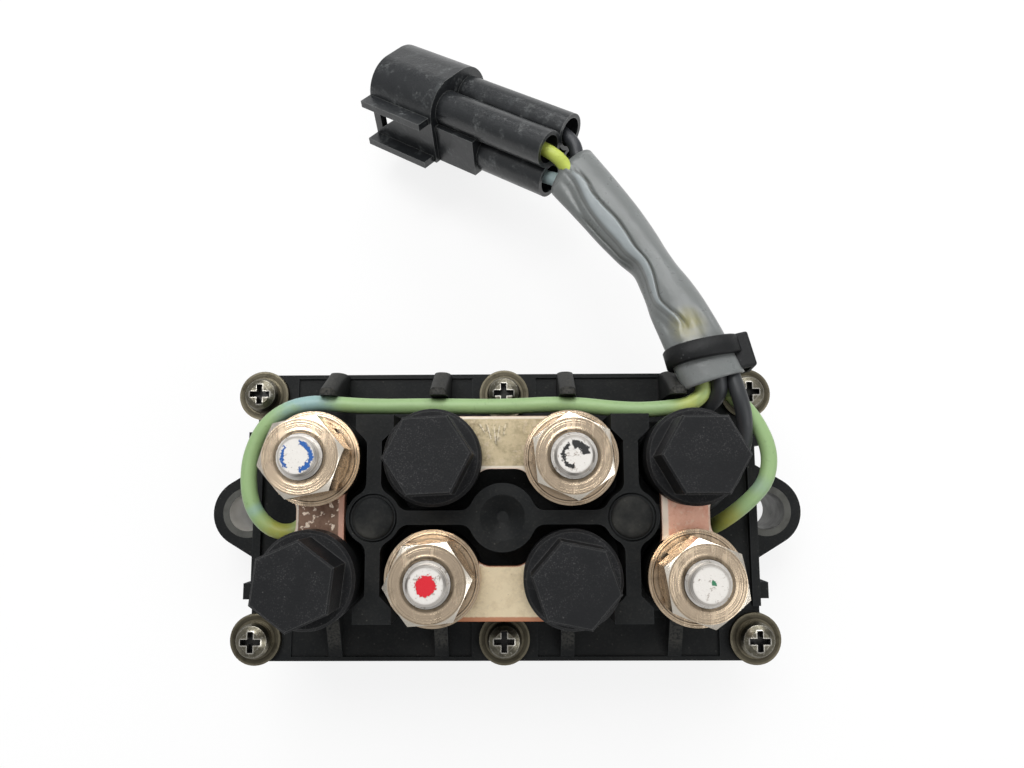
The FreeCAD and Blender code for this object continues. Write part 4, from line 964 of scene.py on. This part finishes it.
class RELAY_OT_plug(bpy.types.Operator):
    """Finish the plug and lead the four wire ends into its barrels"""
    bl_idname = "relay.plug"
    bl_label = "Plug"

    def execute(self, context):
        plastics = context.scene.relay_plastics
        wiring = context.scene.relay_wiring
        housing = Finish("plug_plastic", plastics.plug, 0.3, Specular_IOR_Level=0.6)
        cloud = housing.noise(0.004, 4.0, 0.6)
        fine = housing.noise(0.0005, 3.0, 0.6)
        streak = housing.noise(0.0012, 3.0, 0.6, housing.stretched((0.4, 0.4, 1.0)))
        worn = housing.worn_edges(0.0003)
        shade = housing.mix(streak.step(0.55, 0.75) * 0.4, plastics.plug, srgb(76, 79, 80))
        scuff = streak.step(0.42, 0.68) * fine.step(0.4, 0.72) * cloud.step(0.45, 0.62)
        shade = housing.mix(scuff * 0.45, shade, srgb(124, 127, 126))
        # Painted shade in corners and hollows
        shade = housing.mix(housing.corners(0.002) * 0.5, shade, srgb(14, 14, 14))
        housing.surface(housing.mix(worn * 0.5, shade, srgb(112, 114, 112)),
                        cloud * 0.14 + fine * 0.08 + scuff * 0.3 + 0.2, fine * 0.5 + cloud * 0.5, 0.00006)
        dress(housing, "connector_housing", edge=0.00028)
        dress(rubber("lead_seal_rubber", srgb(40, 42, 44)), "connector_seals")
        pin = plain_metal("pin_tin", srgb(196, 192, 184), 0.26, srgb(140, 132, 118))
        dress(pin, "connector_pins")
        colours = (srgb(178, 190, 84), srgb(40, 42, 46), srgb(186, 206, 208), srgb(48, 50, 52))
        end = Vector(SHEATH[-1])
        along = (end - Vector(SHEATH[-2])).normalized()
        for number, ((sy, sz), colour) in enumerate(zip(CAVITIES, colours)):
            inside, mouth = (PLUG_PLACE @ Vector((depth, CAVITY_REACH * sy, CAVITY_REACH * sz))
                             for depth in (LEAD_DEPTH, CAVITY_MOUTH))
            spread = (mouth - PLUG_PLACE @ Vector((CAVITY_MOUTH, 0, 0))) * (LEAD_SPREAD / CAVITY_REACH)
            sideways = spread - along * spread.dot(along)
            route = [inside, mouth, end + sideways * LEAD_GATHER, end - along * LEAD_RUN]
            wire = line("lead_ends_%d" % number, in_metres(route), wiring.wire_radius * LEAD_THICKNESS)
            finish = insulation("lead_%d" % number, colour, toned(colour, 1.3), [])
            wire.data.materials.append(finish.material)
            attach(wire, "housing")
            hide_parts("connector_leads")
        return {"FINISHED"}


class RELAY_OT_solenoids(bpy.types.Operator):
    """Finish the solenoids and the contacts inside the case"""
    bl_idname = "relay.solenoids"
    bl_label = "Solenoids"

    def execute(self, context):
        steel = plain_metal("solenoid_steel", srgb(176, 174, 168), 0.36, srgb(120, 112, 98))
        bobbin = rubber("bobbin_nylon", srgb(214, 208, 190))
        carrier = rubber("carrier_nylon", srgb(60, 44, 34))
        spring = plain_metal("spring_wire", srgb(150, 152, 156), 0.28, srgb(96, 96, 98))
        bridge = plain_metal("bridge_copper", srgb(200, 130, 92), 0.3, srgb(132, 78, 52))
        winding = Finish("enamelled_wire", srgb(150, 66, 30), 0.3, Metallic=0.8)
        _, _, z = winding.axes()
        # Painted shade between the turns of wire and painted light on their tops
        turns = winding.node("Math", {"operation": "SINE"}, {0: z * (math.tau / 0.0005)})
        winding.surface(winding.mix(turns.step(-0.6, 0.4), srgb(66, 24, 10), srgb(172, 84, 40)),
                        winding.noise(0.0008) * 0.2 + 0.2, turns * 0.5 + 0.5, 0.00012)
        for side in ("left", "right"):
            for piece, finish in (("solenoid_can", steel), ("solenoid_lid", steel), ("fixed_core", steel),
                                  ("plunger", steel), ("bobbin", bobbin), ("coil", winding),
                                  ("contact_carrier", carrier), ("rest_bridge", bridge),
                                  ("drive_bridge", bridge)):
                dress(finish, "%s_%s" % (piece, side))
            low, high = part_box("return_spring_" + side)
            foot = Vector(((low.x + high.x) / 2, (low.y + high.y) / 2, low.z + SPRING_WIRE))
            rise = high.z - low.z - 2 * SPRING_WIRE
            coil = new_piece("wound_spring_" + side, helix(foot, rise), spring)
            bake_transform(coil)
            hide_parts("return_spring_" + side)
        return {"FINISHED"}


# Camera fitted to the photograph, in metres, radians and, for its sensor and lens, millimetres
CAMERA_PLACE, CAMERA_TURN = (0.00259, 0.004063, 0.146038), (0.1302258, 0.0116981, -0.0038575)
CAMERA_SENSOR, CAMERA_LENS = 36.0, 27.7051

# The table's level, and the lamps: place, aim, width and height in metres and power in watts
TABLE_LEVEL = -0.0002
LAMPS = [("key_box", (-0.10, 0.28, 0.52), (0, 0.02, 0.02), 0.36, 0.22, 2.1),
         ("fill_box", (0.40, -0.20, 0.45), (0, 0, 0.02), 0.30, 0.45, 0.9),
         ("rear_box", (0.10, 0.45, 0.30), (0, 0, 0.03), 0.50, 0.16, 1.0)]


class RELAY_OT_stage(bpy.types.Operator):
    """Set the pale table, the soft lamps and the camera"""
    bl_idname = "relay.stage"
    bl_label = "Stage"

    def execute(self, context):
        scene = context.scene
        bm = bmesh.new()
        bmesh.ops.create_grid(bm, x_segments=4, y_segments=4, size=1.5)
        table = Finish("table_white", (0.86, 0.86, 0.86, 1.0), 0.8)
        cloud = table.noise(0.08, 2.0)
        table.colour(table.mix(cloud.step(0.3, 0.8) * 0.3, srgb(240, 240, 239), srgb(232, 232, 231)))
        seen, mirrored, through = table.rays()
        lit = table.node("Emission", {}, {"Color": (1, 1, 1, 1), "Strength": 1.0})
        share = (seen + mirrored + through).least(1.0) * 0.82
        blend = table.node("MixShader", {}, {0: share, 1: table.shader, 2: lit})
        table.feed(table.sink.node, "Surface", blend)
        floor = new_piece("table_top", bm, table)
        floor.location.z = TABLE_LEVEL

        world = bpy.data.worlds.new("soft_room")
        scene.world = world
        world.use_nodes = True
        room = Maker(world.node_tree)
        direction = room.node("TexCoord", {}, {}, "Generated")
        height = room.node("SeparateXYZ", {}, {0: direction}, "Z") * 0.5 + 0.5
        light = room.node("ValToRGB", {"stops": [
            (0.45, (0.10, 0.10, 0.105, 1.0)), (0.78, (0.60, 0.61, 0.62, 1.0)),
            (0.92, (0.68, 0.69, 0.70, 1.0)), (0.985, (0.40, 0.40, 0.405, 1.0))]}, {"Fac": height})
        soft = room.node("Background", {}, {"Color": light, "Strength": 0.85})
        white = room.node("Background", {}, {"Color": (1, 1, 1, 1), "Strength": 1.0})
        seen, mirrored, through = room.rays()
        shown = (seen + (mirrored + through) * height.fall(0.50, 0.58)).least(1.0)
        backdrop = room.node("MixShader", {}, {0: shown, 1: soft, 2: white})
        room.node("OutputWorld", {}, {"Surface": backdrop})
        for name, spot, aim, width, height, watts in LAMPS:
            lamp = bpy.data.lights.new(name, "AREA")
            lamp.shape = "RECTANGLE"
            lamp.size, lamp.size_y, lamp.energy = width, height, watts
            holder = new_object(name, lamp)
            holder.location = spot
            holder.rotation_euler = (Vector(aim) - Vector(spot)).to_track_quat("-Z", "Y").to_euler()

        lens = bpy.data.cameras.new("photo_view")
        lens.sensor_width, lens.lens, lens.clip_start = CAMERA_SENSOR, CAMERA_LENS, 0.01
        scene.camera = new_object("photo_view", lens)
        scene.camera.location = CAMERA_PLACE
        scene.camera.rotation_euler = CAMERA_TURN
        scene.view_settings.view_transform = "Standard"
        return {"FINISHED"}


PIECES = (RELAY_OT_stage, RELAY_OT_wires, RELAY_OT_plug, RELAY_OT_tie, RELAY_OT_sleeve, RELAY_OT_case,
          RELAY_OT_block, RELAY_OT_case_screws, RELAY_OT_studs, RELAY_OT_contact_bolts, RELAY_OT_bars,
          RELAY_OT_solenoids)


class RELAY_PT_panel(bpy.types.Panel):
    """Sizes, colours and pieces of the relay"""
    bl_idname = "RELAY_PT_panel"
    bl_label = "Trim tilt relay"
    bl_space_type = "VIEW_3D"
    bl_region_type = "UI"
    bl_category = "Relay"

    def draw(self, context):
        layout = self.layout
        for group in (context.scene.relay_plastics, context.scene.relay_metals, context.scene.relay_wiring):
            column = layout.column()
            for name in group.__annotations__:
                column.prop(group, name)
        for piece in PIECES:
            layout.operator(piece.bl_idname)


GROUPS = {"relay_plastics": RelayPlastics, "relay_metals": RelayMetals, "relay_wiring": RelayWiring}
CLASSES = (*GROUPS.values(), *PIECES, RELAY_PT_panel)


def register():
    for item in CLASSES:
        bpy.utils.register_class(item)
    for name, group in GROUPS.items():
        setattr(bpy.types.Scene, name, bpy.props.PointerProperty(type=group))


def unregister():
    for name in GROUPS:
        delattr(bpy.types.Scene, name)
    for item in reversed(CLASSES):
        bpy.utils.unregister_class(item)


def main():
    register()
    for piece in PIECES:
        group, name = piece.bl_idname.split(".")
        getattr(getattr(bpy.ops, group), name)()


if __name__ == "__main__":
    main()
